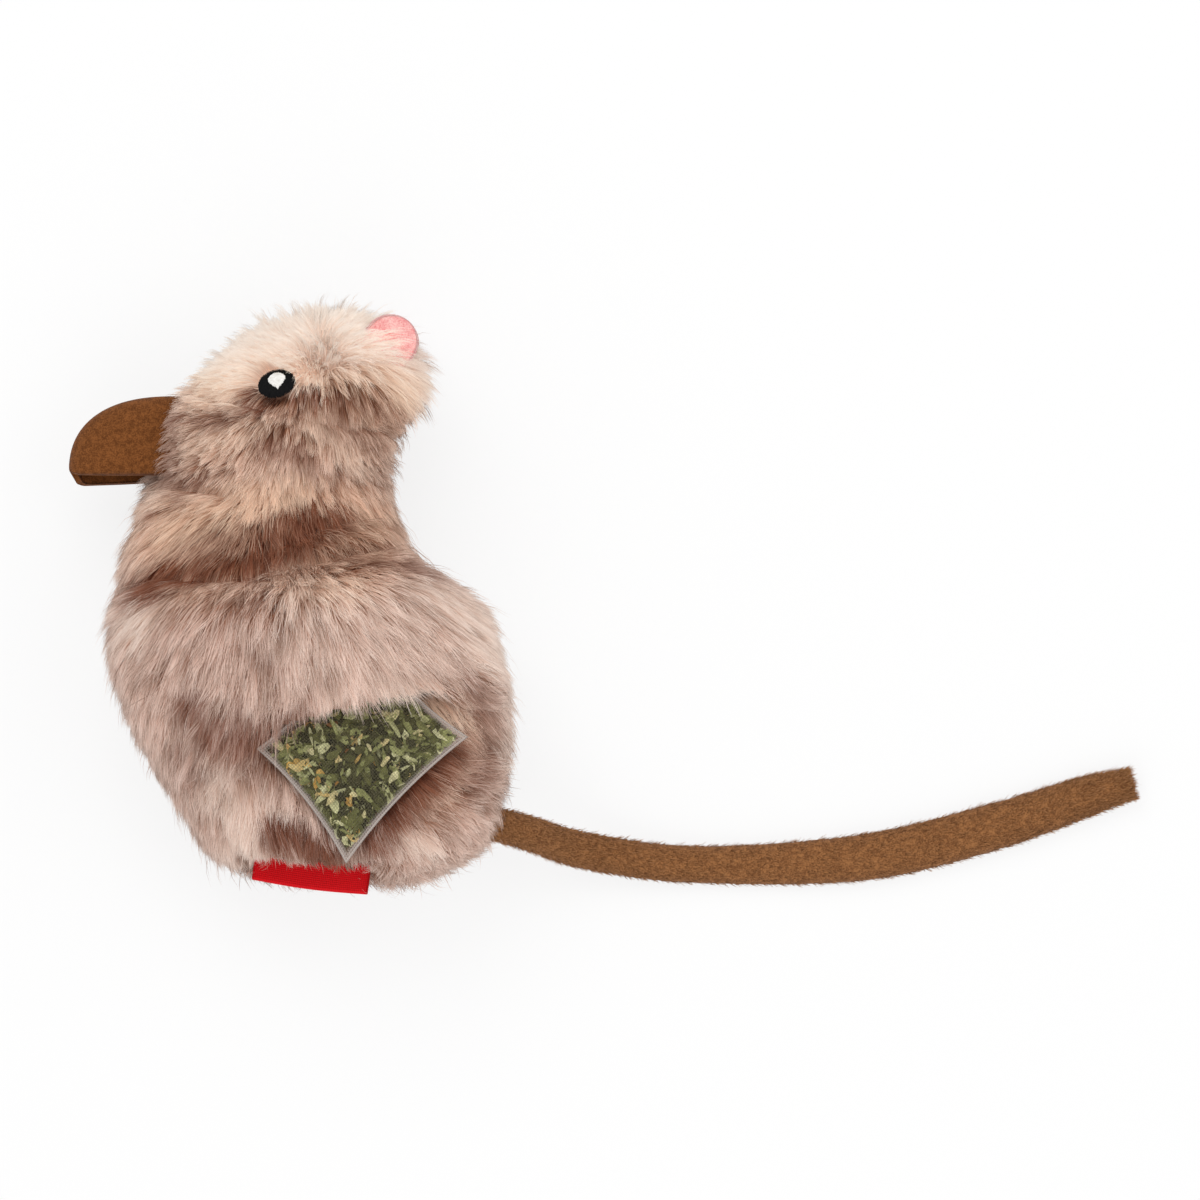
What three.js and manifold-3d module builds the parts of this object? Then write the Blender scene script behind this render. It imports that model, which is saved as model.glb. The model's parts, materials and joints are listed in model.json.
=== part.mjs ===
// A catnip mouse: a stuffed plush toy that lies on its side, with a pocket that holds a mesh bag of dried catnip.
// Millimetres, +Z up. The toy faces -X, its crown points along +Y, and the side that shows points up.
import * as THREE from "three";
import { mergeVertices } from "three/addons/utils/BufferGeometryUtils.js";
import Module from "manifold-3d";

const wasm = await Module();
wasm.setup();

// Plush form, outside of the pile. Each landmark gives its rise above the one before it, how far the
// face side and the back reach from the plumb line, and how thick the toy is there.
const SEAT = { rise: 0, front: 27.5, back: 42.5, thick: 46 };
const RUMP = { rise: 26, front: 31.5, back: 43.5, thick: 50 };
const BELLY = { rise: 24, front: 43.8, back: 42.2, thick: 53 };
const SHOULDER = { rise: 20, front: 41, back: 28, thick: 50 };
const NECK = { rise: 20, front: 35, back: 17.4, thick: 42 };
const CHEEK = { rise: 18, front: 29.5, back: 23.5, thick: 44 };
const CROWN = { rise: 19, front: 18.5, back: 27.5, thick: 38 };
const SEAT_ROUND = 22; // radius of the outline at the seat
const CROWN_ROUND = 20; // radius of the outline at the crown
const SEAT_BLUNT = 14; // radius of the seat seen from the side
const CROWN_BLUNT = 17; // radius of the crown seen from the side
const NEAR_POWER = 2; // the near side is round
const FAR_POWER = 2.8; // the far side is flattened by lying on it
const SETTLE = 0.5; // depth of the flat on which the plush lies
const PILE = 7; // plush fabric with its pile
const NECK_SEAM_DROP = 6; // neck seam below the neck landmark

// Snout of two suede panels
const SNOUT_LENGTH = 22.7;
const SNOUT_HEIGHT = 16.8;
const SNOUT_HALF_WIDTH = 6;
const SNOUT_RISE = 0.5; // lower edge above the neck landmark
const SNOUT_STANDOFF = 3.4; // straight stretch through the pile
const SNOUT_OVERHANG = 2.4; // the far panel hangs below the near one
const SUEDE = 1.2;

// Embroidered eyes
const EYE_LENGTH = 8.2;
const EYE_HEIGHT = 6.8;
const EYE_STITCH = 0.9;
const EYE_SINK = 2.4; // the stitching presses the pile down
const EYE_ABOVE_CHEEK = 1.8;
const EYE_FROM_MIDDLE = 5; // towards the face
const HIGHLIGHT_SIZE = 3.5;
const HIGHLIGHT_STITCH = 0.5;
const HIGHLIGHT_RISE = 0.9;

// Ears, each a pink lining sewn to a plush back
const EAR_LENGTH = 14.5;
const EAR_TIP_RADIUS = 6;
const EAR_ROOT_WIDTH = 9;
const EAR_LINING = 0.8;
const EAR_BACK = 2.2;
const EAR_ABOVE_CHEEK = 5;
const EAR_FROM_MIDDLE = 13; // towards the back
const EAR_HEADING = 47; // degrees from the back towards the crown
const EAR_FOLD = 20; // degrees towards the head
const EAR_LIFT = 35; // degrees away from the head

// Tail, a slim stuffed tube of velour
const TAIL_SPAN = 141; // along X
const TAIL_SWAY = 9.9; // along Y
const TAIL_WIDTH = 10.2;
const TAIL_THICK = 5.6;
const TAIL_LEVEL = 15.8; // root above the seat
const TAIL_ROOT_GAP = 2; // root from the stuffing
const TAIL_SWING = 25; // degrees each way
// Shares of the span, the sway, the drop from the root to the floor, and the width
const TAIL_ROUTE = [
  [0, 0, 0, 0.6],
  [0.07, -0.22, 0.26, 0.66],
  [0.17, -0.68, 0.76, 0.74],
  [0.34, -1, 1, 0.78],
  [0.59, -0.82, 1, 0.94],
  [0.79, -0.15, 1, 0.94],
  [0.93, 0.55, 1, 0.78],
  [1, 0.82, 1, 0.44],
];

// Woven label, folded and sewn into the seam under the seat
const LABEL_WIDTH = 25;
const LABEL_DROP = 7.6;
const LABEL_WEAVE = 0.4;
const LABEL_FOLD_GAP = 0.4; // between its two layers
const LABEL_OFFSET = 0.9; // its middle, from the plumb line towards the back
const LABEL_UP = 80; // degrees
const LABEL_DOWN = 30;

// Pocket on the near side of the belly
const POCKET_MOUTH = 50;
const POCKET_END = 28;
const POCKET_DEPTH = 24;
const POCKET_HALF_THICK = 3.9;
const POCKET_LINING = 0.6;
const LINING_INSET = 1; // the lining's edge below the tips of the pile
const POCKET_LIP = 5; // lining that reaches out below the mouth
const POCKET_OFFSET = 8.6; // middle of the mouth, from the plumb line towards the back
const POCKET_BELOW_BELLY = 11.6;
const POCKET_SINK = 6.6; // pocket's middle below the plush
const POCKET_LEAN = 14; // degrees, follows the back
const POCKET_ROLL = 4.5;
const POCKET_DIP = 3;
const FLAP_LENGTH = 13;
const FLAP_SIDE_GAP = 4.5; // the flap is narrower than the mouth on each side
const FLAP_HINGE_RISE = 1.2; // hinge line above the plush at the mouth

// Mesh bag of catnip, sealed on its four sides
const BAG_LENGTH = 38;
const BAG_WIDTH = 31;
const BAG_MESH = 0.3;
const BAG_PUFF = 2.8;
const BAG_SEAL = 2; // flat sealed margin
const BAG_TURN = 28; // degrees, in the pocket's frame
const BAG_OUT = 6.5; // middle of the bag outside of the mouth
const BAG_ASIDE = 1;

const GAP = 0.3; // clearance between pieces that touch
const REACH = 200; // size of cutting blocks, past the whole toy
const FORM_RINGS = 20;
const RING_POINTS = 26;
const SWEEP_STEP = 12.5; // degrees between the copies that clear the tail

const { degToRad, clamp, lerp } = THREE.MathUtils;

// Materials
const finish = (color, roughness) => new THREE.MeshStandardMaterial({ color, roughness, metalness: 0 });
const PLUSH = finish(0xcdb5a2, 0.95);
const FIBRE = finish(0xf2f0ea, 1);
const SUEDE_BROWN = finish(0x7b5530, 0.9);
const VELOUR_BROWN = finish(0x80573a, 0.92);
const PINK = finish(0xf09a97, 0.9);
const BLACK_THREAD = finish(0x121212, 0.6);
const WHITE_THREAD = finish(0xf4f1ea, 0.6);
const RED_WEAVE = finish(0xc00d17, 0.6);
const LINING = finish(0xb9a594, 0.95);
const NYLON = new THREE.MeshStandardMaterial({ color: 0xd8d2c4, roughness: 0.5, transparent: true, opacity: 0.4 });
const LEAF = finish(0x67703f, 0.9);

// Solids and booleans

// A closed geometry as a solid, moved by a matrix where one is given.
function solidOf(geometry, matrix) {
  const bare = new THREE.BufferGeometry();
  bare.setAttribute("position", geometry.getAttribute("position").clone());
  bare.setIndex(geometry.index);
  if (matrix) bare.applyMatrix4(matrix);
  const merged = mergeVertices(bare, 1e-4);
  const vertProperties = merged.getAttribute("position").array;
  const triVerts = new Uint32Array(merged.index.array);
  return new wasm.Manifold(new wasm.Mesh({ numProp: 3, vertProperties, triVerts }));
}

function geometryOf(solid) {
  const mesh = solid.getMesh();
  const geometry = new THREE.BufferGeometry();
  geometry.setAttribute("position", new THREE.BufferAttribute(mesh.vertProperties, 3));
  geometry.setIndex(new THREE.BufferAttribute(mesh.triVerts, 1));
  geometry.computeVertexNormals();
  return geometry;
}

const joined = (solids) => solids.reduce((whole, solid) => whole.add(solid));
const cutBy = (solid, cutters) => cutters.reduce((rest, cutter) => rest.subtract(cutter), solid);

// A block between two corners.
function block(low, high, matrix) {
  const size = high.map((value, i) => value - low[i]);
  const geometry = new THREE.BoxGeometry(...size);
  geometry.translate(...low.map((value, i) => value + size[i] / 2));
  return solidOf(geometry, matrix);
}

// Rings of points joined into a closed skin. Each ring runs anticlockwise seen from the far end.
function loft(rings) {
  const count = rings[0].length;
  const points = rings.flat();
  const index = [];
  for (let r = 0; r + 1 < rings.length; r++)
    for (let i = 0; i < count; i++) {
      const [a, b] = [r * count + i, r * count + ((i + 1) % count)];
      index.push(a, b, b + count, a, b + count, a + count);
    }
  const last = (rings.length - 1) * count;
  const middle = (ring) => ring.reduce((sum, p) => sum.add(p), new THREE.Vector3()).divideScalar(count);
  const start = points.push(middle(rings[0])) - 1;
  const end = points.push(middle(rings[rings.length - 1])) - 1;
  for (let i = 0; i < count; i++) {
    const next = (i + 1) % count;
    index.push(start, next, i, end, last + i, last + next);
  }
  return new THREE.BufferGeometry().setFromPoints(points).setIndex(index);
}

// Room for a flat piece that turns about its X axis and reaches out along Y, from a lowest to a highest angle.
function fan({ reach, below, above, width, lowest, highest, matrix }) {
  const root = Math.hypot(GAP, Math.max(below, above));
  const rim = Math.hypot(reach, Math.max(below, above));
  const start = degToRad(lowest) - Math.asin(below / rim);
  const end = degToRad(highest) + Math.asin(above / rim);
  const shape = new THREE.Shape();
  shape.absarc(0, 0, rim, start, end, false);
  shape.absarc(0, 0, root, degToRad(highest) + Math.PI / 2, degToRad(lowest) + (3 * Math.PI) / 2, false);
  const geometry = new THREE.ExtrudeGeometry(shape, { depth: width, bevelEnabled: false, curveSegments: 5 });
  const upright = new THREE.Matrix4().makeBasis(Y, Z, X);
  return solidOf(geometry.translate(0, 0, -width / 2).applyMatrix4(upright), matrix);
}

const X = new THREE.Vector3(1, 0, 0);
const Y = new THREE.Vector3(0, 1, 0);
const Z = new THREE.Vector3(0, 0, 1);

// The plush form as a function of the level above the seat

const landmarks = [SEAT, RUMP, BELLY, SHOULDER, NECK, CHEEK, CROWN];
const levels = [];
for (const { rise } of landmarks) levels.push((levels.at(-1) ?? 0) + rise);
const [, , bellyLevel, , neckLevel, cheekLevel, height] = levels;
const neckSeam = neckLevel - NECK_SEAM_DROP;
const profile = new THREE.CubicInterpolant(
  levels,
  landmarks.flatMap(({ front, back, thick }) => [front, back, thick]),
  3,
);

// How full the form is near an end that closes with a given radius.
function roundEnd(distance, radius) {
  const share = clamp(distance / Math.max(radius, 1), 0, 1);
  return Math.sqrt(1 - (1 - share) ** 2);
}

// Middle, half width and half thickness of the form at a level, drawn in by an inset.
function formAt(level, inset) {
  const [front, back, thick] = profile.evaluate(clamp(level, 0, height));
  const fromSeat = level - inset;
  const fromCrown = height - inset - level;
  const outline = roundEnd(fromSeat, SEAT_ROUND - inset) * roundEnd(fromCrown, CROWN_ROUND - inset);
  const swell = roundEnd(fromSeat, SEAT_BLUNT - inset) * roundEnd(fromCrown, CROWN_BLUNT - inset);
  return {
    centre: (back - front) / 2,
    half: ((front + back) / 2 - inset) * outline,
    depth: (thick / 2 - inset) * swell,
    seamHeight: thick / 2 - SETTLE,
  };
}

// Height of the near (side 1) or far (side -1) surface.
function surfaceZ(x, level, side, inset) {
  const form = formAt(level, inset);
  const power = side > 0 ? NEAR_POWER : FAR_POWER;
  const across = Math.min(1, Math.abs(x - form.centre) / form.half);
  return form.seamHeight + side * form.depth * (1 - across ** power) ** (1 / power);
}

const roundPower = (value, power) => Math.sign(value) * Math.abs(value) ** (2 / power);

function plushForm(inset) {
  const rings = [];
  for (let r = 0; r < FORM_RINGS; r++) {
    // Rings lie closer together towards both ends.
    const share = (1 - Math.cos((Math.PI * (r + 0.3)) / (FORM_RINGS - 0.4))) / 2;
    const level = lerp(inset, height - inset, share);
    const form = formAt(level, inset);
    const ring = [];
    for (let i = 0; i < RING_POINTS; i++) {
      const angle = (2 * Math.PI * i) / RING_POINTS;
      const power = Math.cos(angle) >= 0 ? NEAR_POWER : FAR_POWER;
      const x = form.centre + form.half * roundPower(Math.sin(angle), power);
      const z = form.seamHeight + form.depth * roundPower(Math.cos(angle), power);
      ring.push(new THREE.Vector3(x, level, z));
    }
    rings.push(ring);
  }
  return solidOf(loft(rings));
}

// All that lies above the seam line, from a small way over it.
function aboveSeam(offset) {
  const shape = new THREE.Shape();
  shape.moveTo(-REACH, REACH);
  shape.lineTo(-REACH, formAt(0, 0).seamHeight + offset);
  for (let i = 0; i <= FORM_RINGS; i++) {
    const level = (height * i) / FORM_RINGS;
    shape.lineTo(level, formAt(level, 0).seamHeight + offset);
  }
  shape.lineTo(REACH, formAt(height, 0).seamHeight + offset);
  shape.lineTo(REACH, REACH);
  const geometry = new THREE.ExtrudeGeometry(shape, { depth: 2 * REACH, bevelEnabled: false });
  geometry.translate(0, 0, -REACH);
  return solidOf(geometry, new THREE.Matrix4().makeBasis(Y, Z, X));
}

const backEdge = (level, inset) => formAt(level, inset).centre + formAt(level, inset).half;
const frontEdge = (level, inset) => formAt(level, inset).centre - formAt(level, inset).half;

// Level of the seam under the seat, at a place along X.
function seatEdge(x, inset) {
  let [low, high] = [inset, bellyLevel];
  for (let i = 0; i < 40; i++) {
    const level = (low + high) / 2;
    const inside = x > frontEdge(level, inset) && x < backEdge(level, inset);
    if (inside) high = level;
    else low = level;
  }
  return high;
}

// A frame on the plush surface whose Z axis points straight out of it.
function surfaceFrame(x, level, side, inset) {
  const step = 0.5;
  const slopeX = (surfaceZ(x + step, level, side, inset) - surfaceZ(x - step, level, side, inset)) / (2 * step);
  const slopeY = (surfaceZ(x, level + step, side, inset) - surfaceZ(x, level - step, side, inset)) / (2 * step);
  const normal = new THREE.Vector3(-slopeX, -slopeY, 1).multiplyScalar(side).normalize();
  const right = new THREE.Vector3(1, 0, slopeX).normalize();
  const up = new THREE.Vector3().crossVectors(normal, right);
  return new THREE.Matrix4()
    .makeBasis(right, up, normal)
    .setPosition(x, level, surfaceZ(x, level, side, inset));
}

// Assembly

const toy = new THREE.Group();

function joint(name, parent, matrix) {
  const group = new THREE.Group();
  group.name = name;
  matrix.decompose(group.position, group.quaternion, group.scale);
  parent.add(group);
  group.updateWorldMatrix(true, false);
  return group;
}

function addPiece(parent, name, material, shape) {
  const mesh = new THREE.Mesh(shape.isBufferGeometry ? shape : geometryOf(shape), material);
  mesh.name = name;
  parent.add(mesh);
}

const floor = block([-REACH, -REACH, -REACH], [REACH, REACH, 0]);
const plushCutters = []; // what the pieces that pass through the pile leave free

// Snout: a rounded nose of two panels, sewn along the top and open below

const snoutFoot = neckLevel + SNOUT_RISE;
const snoutRoot = frontEdge(snoutFoot + SNOUT_HEIGHT / 2, PILE);
const snoutPlace = new THREE.Matrix4().setPosition(
  snoutRoot - SNOUT_STANDOFF,
  snoutFoot,
  formAt(snoutFoot, 0).seamHeight,
);

// Half an ellipsoid that runs on as a straight tube into the head.
function snoutBody(grow) {
  const [length, tall, half] = [SNOUT_LENGTH + grow, SNOUT_HEIGHT + grow, SNOUT_HALF_WIDTH + grow];
  const nose = new THREE.SphereGeometry(1, 24, 16).scale(length, tall, half);
  const run = SNOUT_STANDOFF + PILE;
  const tube = new THREE.CylinderGeometry(1, 1, run, 24).rotateZ(Math.PI / 2).rotateX(Math.PI / 2);
  tube.scale(1, tall, half).translate(run / 2, 0, 0);
  const noseHalf = solidOf(nose).intersect(block([-REACH, -REACH, -REACH], [0.01, REACH, REACH]));
  return noseHalf.add(solidOf(tube));
}

const fabric = plushForm(PILE);
const snoutShell = snoutBody(0).subtract(snoutBody(-SUEDE));
const snoutHalf = (low, high) => {
  const half = snoutShell.intersect(block(low, high));
  return solidOf(geometryOf(half), snoutPlace).subtract(fabric);
};
const snoutNear = snoutHalf([-REACH, 0, GAP / 2], [REACH, REACH, REACH]);
const snoutFar = snoutHalf([-REACH, -SNOUT_OVERHANG, -REACH], [REACH, REACH, -GAP / 2]);
addPiece(toy, "snout_near_panel", SUEDE_BROWN, snoutNear);
addPiece(toy, "snout_far_panel", SUEDE_BROWN, snoutFar);
const snoutClear = snoutBody(GAP).intersect(
  block([-REACH, -SNOUT_OVERHANG - GAP, -REACH], [REACH, REACH, REACH]),
);
plushCutters.push(solidOf(geometryOf(snoutClear), snoutPlace));

// Eyes: satin stitch pressed into the pile on both sides of the head

// A round patch with a bevelled rim, from the origin outwards along Z.
function stitchedPatch(thick) {
  const bevel = 0.15;
  const outline = [[0, 0], [1, 0], [1, thick * 0.6], [1 - bevel, thick], [0, thick]];
  const points = outline.map(([x, y]) => new THREE.Vector2(x, y));
  return new THREE.LatheGeometry(points, 20).rotateX(Math.PI / 2);
}

for (const [side, label] of [[1, "near"], [-1, "far"]]) {
  const level = cheekLevel + EYE_ABOVE_CHEEK;
  const x = formAt(level, 0).centre - EYE_FROM_MIDDLE;
  const socket = joint(`${label}_eye`, toy, surfaceFrame(x, level, side, EYE_SINK));
  const patch = stitchedPatch(EYE_STITCH).scale(EYE_LENGTH / 2, EYE_HEIGHT / 2, 1);
  const glint = stitchedPatch(HIGHLIGHT_STITCH).scale(HIGHLIGHT_SIZE / 2, HIGHLIGHT_SIZE / 2, 1);
  glint.translate(0, HIGHLIGHT_RISE * side, EYE_STITCH + GAP);
  addPiece(socket, `${label}_eye_stitching`, BLACK_THREAD, patch);
  addPiece(socket, `${label}_eye_highlight`, WHITE_THREAD, glint);
  const hollow = stitchedPatch(PILE).scale(EYE_LENGTH / 2 + GAP, EYE_HEIGHT / 2 + GAP, 2);
  plushCutters.push(solidOf(hollow.translate(0, 0, -GAP), socket.matrixWorld));
}

// Ears: flat petals that fold at their sewn root

function earPetal(low, high) {
  const half = EAR_ROOT_WIDTH / 2;
  const radius = EAR_TIP_RADIUS;
  const middle = EAR_LENGTH - EAR_TIP_RADIUS;
  const shape = new THREE.Shape();
  shape.moveTo(half, 0);
  shape.quadraticCurveTo(radius, middle / 2, radius, middle);
  shape.absarc(0, middle, radius, 0, Math.PI, false);
  shape.quadraticCurveTo(-radius, middle / 2, -half, 0);
  const geometry = new THREE.ExtrudeGeometry(shape, { depth: high - low, bevelEnabled: false, curveSegments: 8 });
  return geometry.translate(0, 0, low);
}

for (const [side, label] of [[1, "near"], [-1, "far"]]) {
  const level = cheekLevel + EAR_ABOVE_CHEEK;
  const x = formAt(level, 0).centre + EAR_FROM_MIDDLE;
  const heading = degToRad(EAR_HEADING);
  const outward = new THREE.Vector3(Math.cos(heading), Math.sin(heading), 0);
  const normal = Z.clone().multiplyScalar(side);
  const along = new THREE.Vector3().crossVectors(outward, normal);
  const place = new THREE.Matrix4()
    .makeBasis(along, outward, normal)
    .setPosition(x, level, surfaceZ(x, level, side, PILE));
  const root = joint(`${label}_ear_fold`, toy, place);
  addPiece(root, `${label}_ear_lining`, PINK, earPetal(GAP / 2, GAP / 2 + EAR_LINING));
  addPiece(root, `${label}_ear_back`, PLUSH, earPetal(-GAP / 2 - EAR_BACK, -GAP / 2));
  const earFan = fan({
    reach: EAR_LENGTH + GAP,
    below: EAR_BACK + 1.5 * GAP,
    above: EAR_LINING + 1.5 * GAP,
    width: 2 * (EAR_TIP_RADIUS + GAP),
    lowest: -EAR_FOLD,
    highest: EAR_LIFT,
    matrix: root.matrixWorld,
  });
  plushCutters.push(earFan);
}

// Tail: a flat oval tube that drops from the seam to the floor and lies there

const tailPlace = new THREE.Matrix4().setPosition(
  backEdge(TAIL_LEVEL, PILE) + TAIL_ROOT_GAP,
  TAIL_LEVEL,
  formAt(TAIL_LEVEL, 0).seamHeight,
);
const tailJoint = joint("tail_swing", toy, tailPlace);

function tailTube(grow, share, ringCount, ringPoints) {
  const drop = tailJoint.position.z - TAIL_THICK / 2 + SETTLE;
  const route = TAIL_ROUTE.map(([x, y, z]) => new THREE.Vector3(x * TAIL_SPAN, y * TAIL_SWAY, -z * drop));
  const curve = new THREE.CatmullRomCurve3(route);
  const rings = [];
  for (let r = 0; r < ringCount; r++) {
    const t = (share * r) / (ringCount - 1);
    const place = t * (TAIL_ROUTE.length - 1);
    const before = Math.min(Math.floor(place), TAIL_ROUTE.length - 2);
    const width = TAIL_WIDTH * lerp(TAIL_ROUTE[before][3], TAIL_ROUTE[before + 1][3], place - before);
    const thick = Math.min(TAIL_THICK, width);
    const centre = curve.getPoint(t);
    const along = curve.getTangent(t);
    const side = new THREE.Vector3().crossVectors(Z, along).normalize();
    const up = new THREE.Vector3().crossVectors(along, side);
    const ring = [];
    for (let i = 0; i < ringPoints; i++) {
      const angle = (2 * Math.PI * i) / ringPoints;
      const across = side.clone().multiplyScalar((width / 2 + grow) * Math.cos(angle));
      ring.push(across.addScaledVector(up, (thick / 2 + grow) * Math.sin(angle)).add(centre));
    }
    rings.push(ring);
  }
  return loft(rings);
}

const tailSolid = solidOf(tailTube(0, 1, 32, 12), tailPlace).subtract(floor);
addPiece(tailJoint, "tail", VELOUR_BROWN, geometryOf(tailSolid).applyMatrix4(tailPlace.clone().invert()));
const tailClear = tailTube(2 * GAP, 0.34, 5, 8).translate(-GAP, 0, 0);
const tailSteps = Math.ceil((2 * TAIL_SWING) / SWEEP_STEP);
for (let i = 0; i <= tailSteps; i++) {
  const turn = new THREE.Matrix4().makeRotationZ(degToRad(lerp(-TAIL_SWING, TAIL_SWING, i / tailSteps)));
  plushCutters.push(solidOf(tailClear, tailPlace.clone().multiply(turn)));
}

// Label: a woven strip folded in two, held by the seam under the seat

const labelEnds = [-1, 1].map((end) => {
  const x = LABEL_OFFSET + (end * LABEL_WIDTH) / 2;
  return new THREE.Vector3(x, seatEdge(x, PILE), formAt(PILE, 0).seamHeight);
});
const labelAlong = labelEnds[0].clone().sub(labelEnds[1]).normalize();
const labelPlace = new THREE.Matrix4()
  .makeBasis(labelAlong, new THREE.Vector3().crossVectors(Z, labelAlong), Z)
  .setPosition(labelEnds[0].clone().add(labelEnds[1]).divideScalar(2));
const labelJoint = joint("label_flap", toy, labelPlace);
const labelHalf = LABEL_FOLD_GAP / 2 + LABEL_WEAVE;

// The section is drawn across the strip, with its fold at the far end.
function foldedLabel() {
  const fold = LABEL_DROP - labelHalf;
  const shape = new THREE.Shape();
  shape.moveTo(0, -labelHalf);
  shape.absarc(fold, 0, labelHalf, -Math.PI / 2, Math.PI / 2, false);
  shape.lineTo(0, labelHalf);
  shape.lineTo(0, LABEL_FOLD_GAP / 2);
  shape.absarc(fold, 0, LABEL_FOLD_GAP / 2, Math.PI / 2, -Math.PI / 2, true);
  shape.lineTo(0, -LABEL_FOLD_GAP / 2);
  const strip = new THREE.ExtrudeGeometry(shape, { depth: LABEL_WIDTH, bevelEnabled: false, curveSegments: 6 });
  return strip.translate(0, 0, -LABEL_WIDTH / 2).applyMatrix4(new THREE.Matrix4().makeBasis(Y, Z, X));
}

addPiece(labelJoint, "woven_label", RED_WEAVE, foldedLabel());
const labelFan = fan({
  reach: SEAT.thick / 2, // parts the pile all the way
  below: labelHalf + GAP,
  above: labelHalf + GAP,
  width: LABEL_WIDTH + 2 * GAP,
  lowest: -LABEL_DOWN,
  highest: LABEL_UP,
  matrix: labelPlace,
});
plushCutters.push(labelFan);

// Pocket: a flat sock of lining under the near plush. Its frame has X along the mouth and Y into the pocket.

const mouthLevel = bellyLevel - POCKET_BELOW_BELLY;
const pocketPlace = new THREE.Matrix4()
  .makeRotationFromEuler(
    new THREE.Euler(-degToRad(POCKET_DIP), degToRad(POCKET_ROLL), degToRad(POCKET_LEAN), "ZYX"),
  )
  .setPosition(POCKET_OFFSET, mouthLevel, surfaceZ(POCKET_OFFSET, mouthLevel, 1, 0) - POCKET_SINK);
const pocket = joint("pocket", toy, pocketPlace);

// A flat oval sock that narrows towards the pocket's end and runs straight on, out of the mouth.
function pocketSock(grow, lip) {
  const stations = [[-lip, POCKET_MOUTH], [0, POCKET_MOUTH], [POCKET_DEPTH + grow, POCKET_END]];
  const rings = stations.map(([along, width]) => {
    const ring = [];
    for (let i = 0; i < 32; i++) {
      const angle = (2 * Math.PI * i) / 32;
      const x = (width / 2 + grow) * Math.sin(angle);
      ring.push(new THREE.Vector3(x, along, (POCKET_HALF_THICK + grow) * Math.cos(angle)));
    }
    return ring;
  });
  return solidOf(loft(rings));
}

const pocketSolid = (solid) => solidOf(geometryOf(solid), pocketPlace);
const flapTop = 1 + FLAP_LENGTH; // the mouth's edge lies 1 mm inside of the frame's origin
const bagPath = pocketSock(0, REACH);
const lining = pocketSock(POCKET_LINING, POCKET_LIP)
  .subtract(bagPath)
  .subtract(block([-REACH, -REACH, 0], [REACH, flapTop + GAP, REACH]));
const window = block([-POCKET_MOUTH / 2, -REACH, 0], [POCKET_MOUTH / 2, 1, REACH]);
const liningRoom = pocketSock(POCKET_LINING + GAP, POCKET_LIP + GAP)
  .subtract(block([-REACH, -REACH, 0], [REACH, flapTop, REACH]));
const pocketRoom = pocketSolid(joined([bagPath, liningRoom, window]));

// Plush skins, cut along the side seam and the neck seam

const plush = cutBy(plushForm(0).subtract(fabric).subtract(floor), plushCutters);
const nearHalf = aboveSeam(GAP / 2);
const farHalf = aboveSeam(-GAP / 2);
const headBlock = block([-REACH, neckSeam + GAP / 2, -REACH], [REACH, REACH, REACH]);
const torsoBlock = block([-REACH, -REACH, -REACH], [REACH, neckSeam - GAP / 2, REACH]);
const nearPlush = plush.intersect(nearHalf);
const farPlush = plush.subtract(farHalf);
const nearTorso = nearPlush.intersect(torsoBlock).subtract(pocketRoom);

const flapHalf = POCKET_MOUTH / 2 - FLAP_SIDE_GAP;
const flapBlock = (grow) =>
  pocketSolid(block([-flapHalf - grow, 1 - grow, -grow], [flapHalf + grow, flapTop + grow, REACH]));
addPiece(toy, "head_near_panel", PLUSH, nearPlush.intersect(headBlock));
addPiece(toy, "head_far_panel", PLUSH, farPlush.intersect(headBlock));
addPiece(toy, "body_near_panel", PLUSH, nearTorso.subtract(flapBlock(GAP)));
addPiece(toy, "body_far_panel", PLUSH, farPlush.intersect(torsoBlock));
const stuffing = cutBy(plushForm(PILE + GAP), [...plushCutters, pocketRoom]);
addPiece(toy, "fibre_stuffing", FIBRE, stuffing);
addPiece(toy, "pocket_lining", LINING, pocketSolid(lining).intersect(plushForm(LINING_INSET)));

// Flap over the mouth, hinged along its upper edge

const hingePlace = pocketPlace
  .clone()
  .multiply(new THREE.Matrix4().setPosition(0, flapTop, POCKET_SINK + FLAP_HINGE_RISE));
const flapJoint = joint("flap_lift", toy, hingePlace);
const flap = nearTorso.intersect(flapBlock(0));
addPiece(flapJoint, "pocket_flap", PLUSH, geometryOf(flap).applyMatrix4(hingePlace.clone().invert()));

// Bag of catnip: two mesh sheets sealed round the leaves

const bagPlace = pocketPlace
  .clone()
  .multiply(new THREE.Matrix4().makeRotationZ(degToRad(BAG_TURN)).setPosition(BAG_ASIDE, -BAG_OUT, 0));
const bagJoint = joint("bag_slide", toy, bagPlace);

// How far the bag swells at a place, from 0 at its seal to 1 in the middle.
const swell = (a, b) => ((1 - a * a) * (1 - b * b)) ** 0.7;

// A rectangle of cloth between two heights, which are functions of the place on it.
function slab(length, width, top, bottom) {
  const cells = 8;
  const rings = [];
  for (let j = 0; j <= cells; j++) {
    const b = -Math.cos((Math.PI * j) / cells);
    const ring = [];
    for (let i = 0; i <= cells; i++) {
      const a = Math.cos((Math.PI * i) / cells);
      ring.push(new THREE.Vector3((a * length) / 2, (b * width) / 2, bottom(a, b)));
    }
    for (let i = cells; i >= 0; i--) {
      const a = Math.cos((Math.PI * i) / cells);
      ring.push(new THREE.Vector3((a * length) / 2, (b * width) / 2, top(a, b)));
    }
    rings.push(ring);
  }
  return loft(rings);
}

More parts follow.
